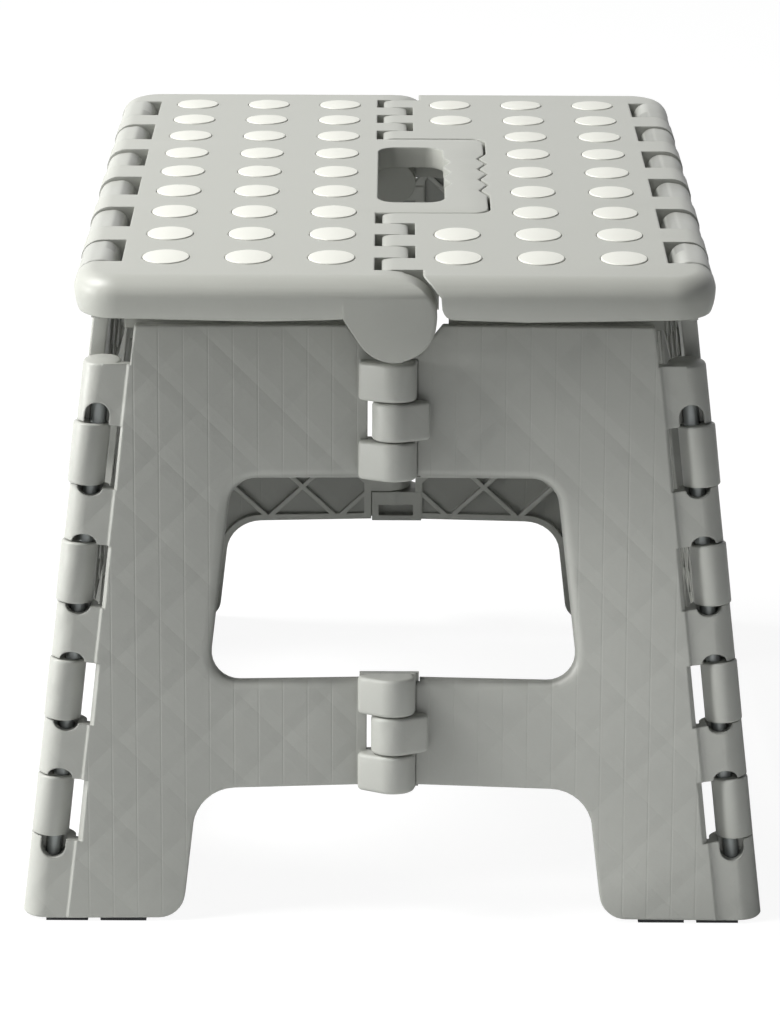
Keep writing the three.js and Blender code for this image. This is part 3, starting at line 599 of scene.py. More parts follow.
notched = carve(block(0, 9, 0, 9, 0, 9), [block(3, 6, -1, 4, -1, 10)])
print("a block with a notch has", len(notched.vertices), "points")

# %% [markdown]
# ## What repeats
# Discs, ribs and barrels sit in even rows. Each could be copied by hand, but one node tree sets copies
# of a form along a line, so that a row needs only its first place, its step and its number.

# %% Rows by geometry nodes
ROW_INPUTS = {"Form": "Geometry", "Number": "Int", "First place": "Vector", "Step": "Vector",
              "Finish": "Material"}


def row_tree():
    """Copies on the points of a line, made real and given one finish."""
    tree = bpy.data.node_groups.new("row_of_copies", "GeometryNodeTree")
    for label, kind in ROW_INPUTS.items():
        tree.interface.new_socket(label, in_out="INPUT", socket_type="NodeSocket" + kind)
    tree.interface.new_socket("Row", in_out="OUTPUT", socket_type="NodeSocketGeometry")
    graph = Graph(tree)
    given = graph.add("NodeGroupInput")
    number, first, step = given.out("Number"), given.out("First place"), given.out("Step")
    line = graph.add("GeometryNodeMeshLine", {"mode": "OFFSET"}, {
        "Count": number, "Start Location": first, "Offset": step})
    copies = graph.add("GeometryNodeInstanceOnPoints", None, {
        "Points": line, "Instance": given.out("Form")})
    real = graph.add("GeometryNodeRealizeInstances", None, {"Geometry": copies})
    painted = graph.add("GeometryNodeSetMaterial", None, {
        "Geometry": real, "Material": given.out("Finish")})
    graph.add("NodeGroupOutput", None, {"Row": painted})
    return tree


ROW = row_tree()


def row(mesh, number, first, step, finish_used=None):
    """Copies of a form along a line, as one plain mesh."""
    holder = bpy.data.objects.new("row", mesh)
    bpy.context.scene.collection.objects.link(holder)
    maker = holder.modifiers.new("row", "NODES")
    maker.node_group = ROW
    values = {"Number": number, "First place": first, "Step": step, "Finish": finish_used or wall_plastic}
    for item in ROW.interface.items_tree:
        if item.in_out == "INPUT" and item.name in values:
            maker[item.identifier] = values[item.name]
    ready = holder.evaluated_get(bpy.context.evaluated_depsgraph_get())
    result = bpy.data.meshes.new_from_object(ready)
    holder.modifiers.remove(maker)
    bpy.data.objects.remove(holder)
    return result


print("five copies have", len(row(block(0, 1, 0, 1, 0, 1), 5, (0, 0, 0), (2, 0, 0)).polygons), "faces")

# %% [markdown]
# ## Finishing a piece
# Every form ends the same way. Points that cuts left side by side are merged, the form is scaled to
# metres, and edges flatter than an angle are shaded smooth. A modifier could do each step, but a plain
# mesh is what the export writes, so it is done once here.

# %% Finished pieces
MERGE_WITHIN = 0.004
TOO_SMALL = 0.002
SMOOTH_BELOW = math.radians(32)


def tidy_form(mesh, name):
    """A clean copy of a form, in metres."""
    form = bmesh.new()
    form.from_mesh(mesh)
    bmesh.ops.remove_doubles(form, verts=form.verts, dist=MERGE_WITHIN)
    bmesh.ops.dissolve_degenerate(form, edges=form.edges, dist=TOO_SMALL)
    bmesh.ops.triangulate(form, faces=[f for f in form.faces if len(f.verts) > 4])
    bmesh.ops.scale(form, vec=(MM, MM, MM), verts=form.verts)
    for face in form.faces:
        face.smooth, face.material_index = True, 0
    for edge in form.edges:
        edge.smooth = edge.is_manifold and edge.calc_face_angle(0) < SMOOTH_BELOW
    made = bpy.data.meshes.new(name)
    form.to_mesh(made)
    form.free()
    return made


def piece(name, mesh, body, nodes, slot, material=None):
    """Finish a form and set it in the place of its CAD parts."""
    made = tidy_form(mesh, name)
    holder = bpy.data.objects.new(name, made)
    bpy.context.scene.collection.objects.link(holder)
    made.materials.append(material or BY_SLOT[slot])
    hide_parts(*nodes)
    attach(holder, body)
    print(name, len(made.polygons), "faces")
    return holder


print("a test block has", len(tidy_form(block(0, 9, 0, 9, 0, 9), "test").vertices), "points")

# %% [markdown]
# ## Frames of the walls and of the hinge axes
# A leaning wall is hard to draw in place. It is drawn flat instead, with x across it, y up its slope
# and z out of its face, and a matrix sets it up. A hinge axis has a matrix too, whose z runs from a
# point on the floor to the apex.

# %% Frames
def from_axes(x, y, z, origin):
    matrix = Matrix((x, y, z)).transposed().to_4x4()
    return Matrix.Translation(origin) @ matrix


def wall_frame(outward, half):
    """The place of a wall that leans to the apex."""
    lean = math.atan(half / APEX)
    outward, up = Vector(outward), Vector((0, 0, 1))
    out = outward * math.cos(lean) + up * math.sin(lean)
    rise = up * math.cos(lean) - outward * math.sin(lean)
    return from_axes(up.cross(outward), rise, out, outward * half)


def axis_frame(x, y):
    """The place of an axis from a point on the floor to the apex."""
    up_axis = Vector((-x, -y, APEX)).normalized()
    across = (Vector((1, 0, 0)) - up_axis * up_axis.x).normalized()
    return from_axes(across, up_axis.cross(across), up_axis, Vector((x, y, 0)))


def along(axis, z):
    """The length on an axis at a height."""
    return z / axis[2][2]


def end_slope(z):
    """The length up an end wall at a height."""
    return z / math.cos(math.atan(BASE_HALF_DEPTH / APEX))


def side_slope(z):
    """The length up a side wall at a height."""
    return z / math.cos(math.atan(BASE_HALF_WIDTH / APEX))


# The rod axis lies inside the corner, and the axis of the centre hinge just before the wall's face.
PIN_INSET = 7.2
PIN_X, PIN_Y = BASE_HALF_WIDTH - PIN_INSET, BASE_HALF_DEPTH - PIN_INSET
HINGE_FORWARD = 1.9
FRONT = wall_frame((0, -1, 0), BASE_HALF_DEPTH)
LEFT = wall_frame((-1, 0, 0), BASE_HALF_WIDTH)
CENTRE = axis_frame(0, -BASE_HALF_DEPTH - HINGE_FORWARD)
print("front wall leans", round(math.degrees(math.atan(BASE_HALF_DEPTH / APEX)), 2), "degrees")

# %% [markdown]
# ## Front and back walls
# Each end wall is two half panels that fold inward. A half panel is a thin moulding with a window, a
# leg, a raised field and an edge that rolls round the corner rod. One big mesh could be pushed into
# shape, but each feature is easier to set as its own small solid, which is then joined or cut.

# %% Sizes of a half panel
PANEL_TOP, STEP, WINDOW_TOP, WINDOW_BOTTOM, LEG = 214.8, 201, 160.5, 87.8, 48.8
LEG_WIDTH, WINDOW_INSET, STRIP = 56.2, 55.5, 15.5
FOOT_RADIUS, LEG_RADIUS, WINDOW_RADIUS = 9.5, 15.5, 10
BARREL_HEIGHTS = [41, 83.333, 125.667, 168]
BARREL_HALF = 11
HINGE_BOTTOMS = [49.6, 161.3]
KNUCKLE, KNUCKLE_LENGTH = 7.8, 14
BACK_RIM, FACE_RIM = 0.3, 0.8
# Cutters reach THROUGH a wall, and past the corner of the stool.
THROUGH = 20
PAST_CORNER, FAR_OUT = 140, 200
print("a half panel is", round(out_x(0)), "mm wide at the floor")

# %% [markdown]
# ### Corner and hinge
# The edge of a half panel rolls round its corner rod, and the middle hinge has three knuckles at each
# of its two places. A roll could be bent from the sheet. A cone along the rod and round plates along
# the hinge axis are simpler, and they stay true to the axes when the stool folds.

# %% Corner roll and knuckles
ROLL, ROLL_OUT = 8.2, 1.5
# Each level of the roll, and how much its radius shrinks there.
ROLL_LEVELS = [(SOLE, 0.4), (SOLE + 0.4, 0), (STEP - 1, 0), (STEP - 0.3, 0.3), (STEP, 1)]
FLANK_RADIUS, FLANK_X, FLANK_Y = 2.6, 9.9, 0.6
KNUCKLE_RIM = 1.3


def corner_roll(side):
    """A cone round the corner rod that touches the front face, from the sole to the cut corner."""
    rings = []
    for z, shrink in ROLL_LEVELS:
        share = (APEX - z) / APEX
        x = side * (BASE_HALF_WIDTH + ROLL_OUT - ROLL) * share
        y = (ROLL - BASE_HALF_DEPTH) * share
        rings.append(at_level(circle(ROLL * share - shrink, 64, x, y), z))
    return loft(rings)


def knuckle(side, low, high):
    """One knuckle of a centre hinge, with a flank down to the face of its own half."""
    outline = hull(circle(KNUCKLE, 56) + circle(FLANK_RADIUS, 32, side * FLANK_X, FLANK_Y))
    return moved(plate(outline, low, high, KNUCKLE_RIM, KNUCKLE_RIM), CENTRE)


print("a knuckle has", len(knuckle(1, 0, KNUCKLE_LENGTH).polygons), "faces")

# %% Hinge boxes and the rooms beside them
# Boxes as x from, x to, y from, y to, round the hinge axis. The left half's boxes overlap the joint.
BOX, LAP = (-12, 8.05, 3, 7.6), (-12, 9.1, 5.2, 7.6)
BOX_SLOT, SLOT_LEVELS = (-8.4, 6.2, 4.4, THROUGH), (2.6, 7.6)
ROOM_NEAR, ROOM_FAR = 8.2, 9.4
LAP_ROOM = (-9, 9.4, 4.9, THROUGH)


def at_hinge(box, low, high):
    return moved(block(*box, low, high), CENTRE)


def hinge_forms(side):
    """A half's knuckles and boxes, the rooms for the other half's, and the slots in its boxes."""
    own, rooms, box_slots = [], [], []
    for bottom in HINGE_BOTTOMS:
        for k in range(3):
            start = along(CENTRE, bottom) + k * KNUCKLE_LENGTH
            end = start + KNUCKLE_LENGTH
            inner = (start + GAP / 2, end - GAP / 2)
            outer = (start - GAP / 2, end + GAP / 2)
            if (k == 1) == (side > 0):
                own.append(knuckle(side, *inner))
                if side < 0:
                    own += [at_hinge(BOX, *inner), at_hinge(LAP, *inner)]
                    box_slots.append(at_hinge(BOX_SLOT, *[start + level for level in SLOT_LEVELS]))
            else:
                room = sorted((-ROOM_NEAR * side, (ROOM_FAR if side < 0 else ROOM_NEAR) * side))
                rooms.append(at_hinge((*room, -THROUGH, THROUGH), *outer))
                if side > 0:
                    rooms.append(at_hinge(LAP_ROOM, *outer))
    return own, rooms, box_slots


print("knuckles and boxes of the left half:", len(hinge_forms(-1)[0]))

# %% [markdown]
# ### Notches for the side barrels
# The side wall's barrels sit in notches of the roll, and a round scoop at both ends of a notch shows
# the steel rod. They could be drawn into the roll's outline, but cutters that follow the rod's own axis
# stay square to it. The inner lip of a notch is chamfered, where the mould's halves meet.

# %% Notches
NOTCH_IN = 8.6
SCOOP_HALF = 4.4
SHORT_SCOOP, LONG_SCOOP = 3.2, 7.5
# The chamfer's corners, as x toward the middle and y round the rod's axis.
LIP = [(8.5, -5.7), (8.5, -10), (12.8, -10)]


def scoop(start, reach):
    """A round-ended cutter that runs on from one end of a notch."""
    sign = 1 if reach > 0 else -1
    outline = [(SCOOP_HALF, start - sign)]
    for k in range(13):
        a = math.pi * k / 12
        if abs(reach) > SCOOP_HALF:
            level = start + reach - sign * SCOOP_HALF * (1 - math.sin(a))
        else:
            level = start + reach * math.sin(a)
        outline.append((SCOOP_HALF * math.cos(a), level))
    outline.append((-SCOOP_HALF, start - sign))
    return section(counter_clockwise(outline), -THROUGH, 1)


def notch_tools(side):
    """Cutters at the corner: a notch with scoops at both ends for each barrel."""
    axis = axis_frame(side * PIN_X, -PIN_Y)
    tools = []
    for height in BARREL_HEIGHTS:
        middle = along(axis, height)
        low, high = middle - BARREL_HALF - GAP, middle + BARREL_HALF + GAP
        below = LONG_SCOOP if height == BARREL_HEIGHTS[0] else SHORT_SCOOP
        above = LONG_SCOOP if height == BARREL_HEIGHTS[-1] else SHORT_SCOOP
        near, far = -NOTCH_IN * side, THROUGH * side
        notch = [(near, low), (far, low), (far, high), (near, high)]
        tools.append(moved(scoop(low, -below), axis))
        tools.append(moved(scoop(high, above), axis))
        tools.append(moved(section(counter_clockwise(notch), -THROUGH, THROUGH), axis))
        tools.append(moved(plate([(-x * side, y) for x, y in LIP], low, high), axis))
    return tools


print("cutters at a corner:", len(notch_tools(1)))

# %% [markdown]
# ### Ribs behind the skin
# The walls are thin skins over a lattice of diagonal ribs. The ribs could be drawn one by one. Here the
# pocket behind the skin is cut by two rows of slanted bars, so that what is left uncut stands as ribs.

# %% Lattice
RIB_END = 2


def lattice(half_width, height):
    """Diagonal bars both ways over a wall, which cross at CROSS."""
    number = math.ceil((2 * half_width + height) / RIB_PITCH) + 2
    ribs = []
    for sign in (-1, 1):
        rise = height + 2 * RIB_END
        top = rise - RIB_END
        slanted = [(-RIB, -RIB_END), (RIB, -RIB_END), (RIB + sign * rise, top), (-RIB + sign * rise, top)]
        rib = plate(counter_clockwise(slanted), -PANEL, -SKIN / 2)
        first = CROSS[0] - sign * CROSS[1]
        reach = half_width + (rise if sign > 0 else 0)
        first -= math.ceil((first + reach) / RIB_PITCH) * RIB_PITCH
        ribs.append(row(rib, number, (first, 0, 0), (RIB_PITCH, 0, 0)))
    return ribs


print("a rib every", RIB_PITCH, "mm")

# %% [markdown]
# ### Skin of a half panel
# The outline has the leg, the window and a raised tab under the seat. The field inside the strip at the
# corner stands a little back, and the whole face falls back toward the middle hinge, because the real
# wall stands slightly folded. A bend modifier could do that, but moving each point by a rule is exact.

# %% Outline, field and window
WINDOW_RIM, RIM_CURVE = 3.6, 6
FACE = 0.7
# The middle joint's half gap, the tab over the upper hinge, and how far edges rise towards the middle.
JOINT = 0.3
TAB_UP, TAB_X, TAB_FOOT_X, TAB_RADIUS = 1.5, 8.6, 16.9, 1
LEG_RISE, WINDOW_RISE, RIM_RISE = 1.7, 1.2, 1.5
FIELD_SLOPE, FIELD_TOP = 1.1, 1.6
PAST_TOP = 230


def pin_x(z):
    return out_x(z) * PIN_X / BASE_HALF_WIDTH


def half_outline(side):
    """The outline of one half panel, drawn flat."""
    tab_top = end_slope(HINGE_BOTTOMS[1]) + 3 * KNUCKLE_LENGTH + TAB_UP
    corners = [
        (JOINT, tab_top), (TAB_X, tab_top, TAB_RADIUS), (TAB_FOOT_X, end_slope(PANEL_TOP), TAB_RADIUS),
        (out_x(PANEL_TOP) - STRIP, end_slope(PANEL_TOP), TAB_RADIUS), (out_x(STEP) - STRIP, end_slope(STEP)),
        (pin_x(STEP), end_slope(STEP)), (pin_x(SOLE), end_slope(SOLE)),
        (out_x(SOLE) - LEG_WIDTH, end_slope(SOLE), FOOT_RADIUS),
        (out_x(LEG) - LEG_WIDTH, end_slope(LEG), LEG_RADIUS),
        (JOINT, end_slope(LEG + LEG_RISE)), (JOINT, end_slope(WINDOW_BOTTOM + WINDOW_RISE)),
        (out_x(WINDOW_BOTTOM) - WINDOW_INSET, end_slope(WINDOW_BOTTOM), WINDOW_RADIUS),
        (out_x(WINDOW_TOP) - WINDOW_INSET, end_slope(WINDOW_TOP), WINDOW_RADIUS),
        (JOINT, end_slope(WINDOW_TOP)),
    ]
    return rounded([(side * x, y, *radius) for x, y, *radius in corners])


def field_edge(side):
    """A cutter that sets the strip at the corner a little back, with a sloping step."""
    top = end_slope(PAST_TOP)
    strip = [(side * (out_x(0) - STRIP), 0), (side * (out_x(PAST_TOP) - STRIP), top),
             (side * FAR_OUT, top), (side * FAR_OUT, 0)]
    strip = counter_clockwise(strip)
    return loft([at_level(inset(strip, FIELD_SLOPE), 0), at_level(inset(strip, -FIELD_SLOPE), FIELD_TOP)])


def window_rim(side):
    """A cutter that rounds the front edge of the window."""
    below, above = out_x(WINDOW_BOTTOM) - WINDOW_INSET, out_x(WINDOW_TOP) - WINDOW_INSET
    corners = [(-THROUGH, WINDOW_BOTTOM + RIM_RISE), (below, WINDOW_BOTTOM, WINDOW_RADIUS),
               (above, WINDOW_TOP, WINDOW_RADIUS), (-THROUGH, WINDOW_TOP)]
    outline = rounded([(side * x, end_slope(z), *radius) for x, z, *radius in corners])
    rings = [at_level(inset(outline, 0.4), FACE - WINDOW_RIM)]
    for k in range(RIM_CURVE + 1):
        a = math.pi / 2 * (1 - k / RIM_CURVE)
        level = FACE - WINDOW_RIM * (1 - math.cos(a))
        rings.append(at_level(inset(outline, -WINDOW_RIM * (1 - math.sin(a))), level))
    rings.append(at_level(inset(outline, -WINDOW_RIM), 3))
    return loft(rings)


print("a half panel's outline has", len(half_outline(1)), "points")

# %% Pocket and skin
PANEL_EDGE = 2.8
POCKET_END = 17
HINGE_SOLID = 12.5
FALL = 3.0


def half_pocket(side, outline):
    """What is hollow behind the skin: the inside of the outline, less the solid ends and the ribs."""
    top = end_slope(PANEL_TOP)
    inside = plate(inset(outline, PANEL_EDGE), -PANEL - THROUGH, -SKIN)
    corner = [(side * (out_x(0) - POCKET_END), 0), (side * (out_x(PANEL_TOP) - POCKET_END), top),
              (side * PAST_CORNER, top), (side * PAST_CORNER, 0)]
    middle = [(0, 0), (side * HINGE_SOLID, 0), (side * HINGE_SOLID, top), (0, top)]
    pocket = carve(inside, [plate(corner, -THROUGH, 0), plate(middle, -THROUGH, 0)])
    ribs = [moved(rib, Matrix.Scale(side, 4, (1, 0, 0))) for rib in lattice(PAST_CORNER, top)]
    for rib in ribs:
        if side < 0:
            rib.flip_normals()
    return carve(pocket, ribs)


def fall_back(mesh):
    """Let the face of a half panel fall back by a few millimetres towards the middle hinge."""
    for vert in mesh.vertices:
        x, y, z = vert.co
        edge = out_x(y) - STRIP
        share = max(0, 1 - abs(x) / edge) * min(max((z + PANEL) / (PANEL - SKIN), 0), 1)
        vert.co.z = z - FALL * share
    return mesh


def half_skin(side):
    """The flat moulding of a half panel, set in the front wall's place."""
    outline = half_outline(side)
    skin = plate(outline, -PANEL, FACE, BACK_RIM, FACE_RIM)
    skin = carve(skin, [field_edge(side)])
    skin = carve(skin, [window_rim(side)])
    return moved(fall_back(carve(skin, [half_pocket(side, outline)])), FRONT)


print("the pocket begins", SKIN, "mm behind the face and ends", POCKET_END, "mm from the corner")

# %% [markdown]
# ### The four half panels
# Skin, roll and knuckles become one solid, and then notches, rooms and the rod's bore are cut at once.
# The front halves could be copied by mirror, but the hinge isn't the same on both sides, so each is
# built. The back wall is the same pair of mouldings, turned half way round.

# %% Half panels
ROD_BORE = 3.1
BORE_BOTTOM, BORE_UNDER_STEP = 9, 2.5


def front_half(side):
    """One half of the front wall, ready to finish."""
    skin = half_skin(side)
    own, rooms, box_slots = hinge_forms(side)
    body = join(skin, corner_roll(side), *own)
    axis = axis_frame(side * PIN_X, -PIN_Y)
    bore = plate(circle(ROD_BORE, sides=32), along(axis, BORE_BOTTOM), along(axis, STEP - BORE_UNDER_STEP))
    bore = moved(bore, axis)
    return carve(body, [*rooms, *box_slots, *notch_tools(side), bore])


for side, front_name, back_name in [(-1, "left", "right"), (1, "right", "left")]:
    half = front_half(side)
    piece("front_wall_" + front_name, half, "front_" + front_name, ["front_panel_" + front_name], "panel")
    piece("back_wall_" + back_name, turned(half), "back_" + back_name, ["back_panel_" + back_name], "panel")

# %% [markdown]
# ## Side walls
# A side wall is one moulding between its two corner rods. Barrels along its ends hook round the rods,
# and six barrels along its top carry the seat. It could be bent from one sheet, but as with the end
# walls, plates drawn flat and barrels set on their axes are simpler to keep true.

# %% Sizes of a side wall
SIDE_TOP = 219
SIDE_PIN_X, SIDE_PIN_Z = 102.5, 231.7
SIDE_STEP = 43.1
SIDE_MIDDLES = [(k - 2.5) * SIDE_STEP for k in range(6)]
STALK_HALF = 12.3
SIDE_EDGE = 2.2
SOLID_END = 24
SKIN_PLAY = 0.5
STALK_DOWN = 3
PAST_SIDE = 160
print("seat barrels at", [round(y, 1) for y in SIDE_MIDDLES])

# %% Skin of a side wall
def side_edge(z):
    """Half the depth of the side wall's skin at a height."""
    return (APEX - z) * PIN_Y / APEX - PIN_INSET - SKIN_PLAY


def side_outline():
    ends = [(side_edge(SOLE), side_slope(SOLE)), (side_edge(SIDE_TOP), side_slope(SIDE_TOP))]
    arch = [(out_y(LEG) - LEG_WIDTH, side_slope(LEG), LEG_RADIUS),
            (out_y(SOLE) - LEG_WIDTH, side_slope(SOLE), FOOT_RADIUS)]
    return rounded([*ends, *mirrored(ends), *mirrored(arch), *arch])


def side_window():
    edge = [(out_y(z) - WINDOW_INSET, side_slope(z), WINDOW_RADIUS) for z in (WINDOW_BOTTOM, WINDOW_TOP)]
    return rounded([*edge, *mirrored(edge)])


def side_end(side):
    """The solid end of a side wall, outside its pocket."""
    low, high = side * (side_edge(0) - SOLID_END), side * (side_edge(PAST_TOP) - SOLID_END)
    top = side_slope(PAST_TOP)
    return plate([(low, 0), (high, top), (side * PAST_SIDE, top), (side * PAST_SIDE, 0)], -THROUGH, 0)


def side_skin():
    """The flat moulding with its window, ribs and the stalks of the seat barrels."""
    outline, opening = side_outline(), side_window()
    skin = plate(outline, -PANEL, 0, BACK_RIM, FACE_RIM)
    inside = plate(inset(outline, SIDE_EDGE), -PANEL - THROUGH, -SKIN)
    window_edge = plate(inset(opening, -SIDE_EDGE), -THROUGH, 0)
    pocket = carve(inside, [window_edge, side_end(-1), side_end(1)])
    pocket = carve(pocket, lattice(PAST_SIDE, side_slope(SIDE_TOP)))
    skin = carve(skin, [pocket, plate(opening, -THROUGH, THROUGH)])
    low, high = side_slope(SIDE_TOP) - STALK_DOWN, side_slope(SIDE_PIN_Z)
    stalks = [plate(rectangle(y - STALK_HALF, y + STALK_HALF, low, high), -PANEL, 0) for y in SIDE_MIDDLES]
    return moved(join(skin, *stalks), LEFT)


print("the side window has", len(side_window()), "points")

# %% [markdown]
# ### Barrels
# A barrel is a hook of plastic round a rod, with a soft back that runs into the wall. The outline of a
# band round two circles gives that shape at once. The six on top are a row of copies. The corner
# barrels stand on leaning axes, so each gets its own length.

# %% Barrels and side walls
HOOK = [(6.1, -2.2, -1), (5.4, 0, 0)]
CORNER_BARREL = [(5.9, 48, -2.4, -0.8), (4.6, 24, 0.2, 0.4)]
BARREL_DEPTH = 9
HOOK_RIM, BARREL_RIM = 0.6, 0.7
SEAT_ROD_BORE, SIDE_ROD_BORE = 2.5, 3.0
BORE_TOP, SEAT_BORE_HALF = 230, 150


def seat_barrels():
    rounds = [circle(radius, 48, x - SIDE_PIN_X, z + SIDE_PIN_Z) for radius, x, z in HOOK]
    first = SIDE_MIDDLES[0]
    ends = (first - STALK_HALF, first + STALK_HALF)
    hook = section(hull(rounds[0] + rounds[1]), *ends, HOOK_RIM, HOOK_RIM)
    return row(hook, len(SIDE_MIDDLES), (0, 0, 0), (0, SIDE_STEP, 0))


def corner_barrel(height):
    """A barrel of the left side wall at its front corner."""
    axis = axis_frame(-PIN_X, -PIN_Y)
    middle = along(axis, height)
    share = (APEX - height) / APEX
    back = [(-PIN_INSET * share, BARREL_DEPTH), (PANEL - PIN_INSET * share, BARREL_DEPTH)]
    outline = hull(circle(*CORNER_BARREL[0]) + circle(*CORNER_BARREL[1]) + back)
    ends = (middle - BARREL_HALF, middle + BARREL_HALF)
    return moved(plate(outline, *ends, BARREL_RIM, BARREL_RIM), axis)


def to_the_back(mesh):
    """Mirror a form from the front end to the back end."""
    mesh = moved(mesh, Matrix.Scale(-1, 4, (0, 1, 0)))
    mesh.flip_normals()
    return mesh


def side_wall():
    """The left side wall, ready to finish."""
    barrels = [seat_barrels()]
    barrels += [corner_barrel(height) for height in BARREL_HEIGHTS]
    barrels += [to_the_back(corner_barrel(height)) for height in BARREL_HEIGHTS]
    body = join(side_skin(), *barrels)
    cuts = [cross_bar(SEAT_ROD_BORE, -SIDE_PIN_X, SIDE_PIN_Z, -SEAT_BORE_HALF, SEAT_BORE_HALF)]
    for end in (1, -1):
        axis = axis_frame(-PIN_X, -PIN_Y * end)
        bore = plate(circle(SIDE_ROD_BORE, sides=32), along(axis, BORE_BOTTOM), along(axis, BORE_TOP))
        cuts.append(moved(bore, axis))
    return carve(body, cuts)


left_wall = side_wall()
piece("side_wall_left", left_wall, "side_left", ["side_panel_left"], "panel", side_plastic)
piece("side_wall_right", turned(left_wall), "side_right", ["side_panel_right"], "panel", side_plastic)

# %% [markdown]
# ## Rods and pins
# Steel rods turn in the corners, and short pins hold the knuckles. A cylinder from the add menu would
# do, but it has sharp ends. A round plate along the axis has its chamfer and its place at once.

# %% Rods and pins
ROD, ROD_BOTTOM, ROD_UNDER_STEP, ROD_CHAMFER = 2.6, 10, 3, 0.4
HINGE_PIN, PIN_UP, PIN_SHORT, PIN_CHAMFER = 2, 2.5, 0.4, 0.3
HOME = {"front_left": "side_left", "back_right": "side_right", "front_right": "side_right",
        "back_left": "side_left"}
for side, here, there in [(-1, "front_left", "back_right"), (1, "front_right", "back_left")]:
    axis = axis_frame(side * PIN_X, -PIN_Y)
    ends = (along(axis, ROD_BOTTOM), along(axis, STEP - ROD_UNDER_STEP))
    rod = moved(plate(circle(ROD, sides=40), *ends, ROD_CHAMFER, ROD_CHAMFER), axis)
    piece("corner_pin_" + here, rod, HOME[here], ["corner_rod_" + here], "rod")
    piece("corner_pin_" + there, turned(rod), HOME[there], ["corner_rod_" + there], "rod")
for level, bottom in zip(("lower", "upper"), HINGE_BOTTOMS):
    start = along(CENTRE, bottom)
    ends = (start + PIN_UP, start + 3 * KNUCKLE_LENGTH - PIN_SHORT)
    pin = moved(plate(circle(HINGE_PIN, sides=32), *ends, PIN_CHAMFER, PIN_CHAMFER), CENTRE)
    piece("front_pin_" + level, pin, "front_left", ["front_hinge_pin_" + level], "rod")
    piece("back_pin_" + level, turned(pin), "back_right", ["back_hinge_pin_" + level], "rod")

# %% [markdown]
# ## Soles
# Thin dark rubber pads keep the feet from slipping. From the front only their lower edge shows, so
# plain blocks are enough. The back pads are the front ones, turned half way round.

# %% Soles
FRONT_PADS = [(109.5, 124.5), (88.5, 105)]
PAD_START, FRONT_PAD_BEHIND, SIDE_PAD_INSIDE = 5.2, 0.9, 0.6
SIDE_PAD_START, SIDE_PAD_END = 4, 12


def front_sole(side):
    """Two rubber pads under a front leg."""
    front, back = -BASE_HALF_DEPTH + FRONT_PAD_BEHIND, -BASE_HALF_DEPTH + PAD_START
    pads = [block(*sorted((side * near, side * far)), front, back, 0, SOLE) for near, far in FRONT_PADS]
    return join(*pads)


def side_sole(side):
    """A rubber pad under the front end of a side wall."""
    edges = sorted((side * (BASE_HALF_WIDTH - SIDE_PAD_INSIDE), side * (BASE_HALF_WIDTH - PAD_START)))
    return block(*edges, -PIN_Y + SIDE_PAD_START, -out_y(0) + LEG_WIDTH - SIDE_PAD_END, 0, SOLE)


for side, near, far in [(-1, "left", "right"), (1, "right", "left")]:
    pad = front_sole(side)
    piece("front_pad_" + near, pad, "front_" + near, ["front_sole_" + near], "sole")
    piece("back_pad_" + far, turned(pad), "back_" + far, ["back_sole_" + far], "sole")
    pad = side_sole(side)
    piece("side_pad_front_" + near, pad, "side_" + near, ["side_sole_front_" + near], "sole")
    piece("side_pad_back_" + far, turned(pad), "side_" + far, ["side_sole_back_" + far], "sole")

# %% [markdown]
# ## Seat
# The seat is one slab with a rolled rim, parted along its middle into two halves whose fingers
# interlock. The halves could be modelled apart, but then the rim might not meet. So the whole slab is
# made first, and each half is cut from it and gets its own fingers, ribs and holes.

# %% Sizes of the seat
SEAT_LOW = 223
SEAT_CORNER = 16
SEAM, TIP = 6.75, 4.6
FINGER = 14.4
HANDLE_FRONT, HANDLE_BACK = 58, 53.5
PITCH = 28.9
DISC = 8.15
COLUMNS = [-2.768, -1.768, -0.768, 0.768, 1.768, 2.768]
BESIDE_HANDLE = COLUMNS[3]
ROWS = [(k - 4) * PITCH for k in range(9)]
# A cutter spans from SEAT_BELOW to SEAT_ABOVE and past PAST_END at the front and back.
SEAT_BELOW, SEAT_ABOVE, PAST_END = 200, 260, 160
SEAT_OUT = 130
print("discs in a column:", len(ROWS), "columns at", [round(share * PITCH, 1) for share in COLUMNS])

# %% [markdown]
# ### Outlines of the seat
# From above, the seat is a rectangle with round corners. The left half has a tongue with four notches
# that take the other half's teeth, and an opening with scallops for the fingers. As outlines they can
# be used twice, once to build the tongue and once, grown by a gap, to cut its room.

# %% Outlines of the seat
TONGUE_ROOT, TONGUE_TIP, TONGUE_RADIUS = -9.35, 34, 6
TEETH, TOOTH_HALF, TOOTH_DEPTH, TOOTH_RADIUS = [-26.4, -10.4, 5.6, 21.6], 7.2, 2.8, 0.6
SCALLOPS, SCALLOP_HALF, SCALLOP_RADIUS = [16.2, 0, -16.2], 7, 1.2
HOLE_LEFT, HOLE_RIGHT, HOLE_FRONT, HOLE_BACK, HOLE_RADIUS = -6.5, 18.5, -44, 39.5, 7
SCALLOP_X = 21.2


def seat_outline(wall):
    x, y, radius = SEAT_HALF_WIDTH - wall, SEAT_HALF_DEPTH - wall, SEAT_CORNER - wall
    return rounded([(x, -y, radius), (x, y, radius), (-x, y, radius), (-x, -y, radius)])


def handle_outline(grow):
    """The tongue of the handle, with four notches that take the teeth of the other half."""
    tip, front, back = TONGUE_TIP + grow, -HANDLE_FRONT - grow, HANDLE_BACK + grow
    teeth = []
    for y in TEETH:
        teeth += [(tip, y - TOOTH_HALF), (tip - TOOTH_DEPTH, y, TOOTH_RADIUS), (tip, y + TOOTH_HALF)]
    return rounded([(TONGUE_ROOT, front), (tip, front, TONGUE_RADIUS), *teeth, (tip, back, TONGUE_RADIUS),
                    (TONGUE_ROOT, back)])


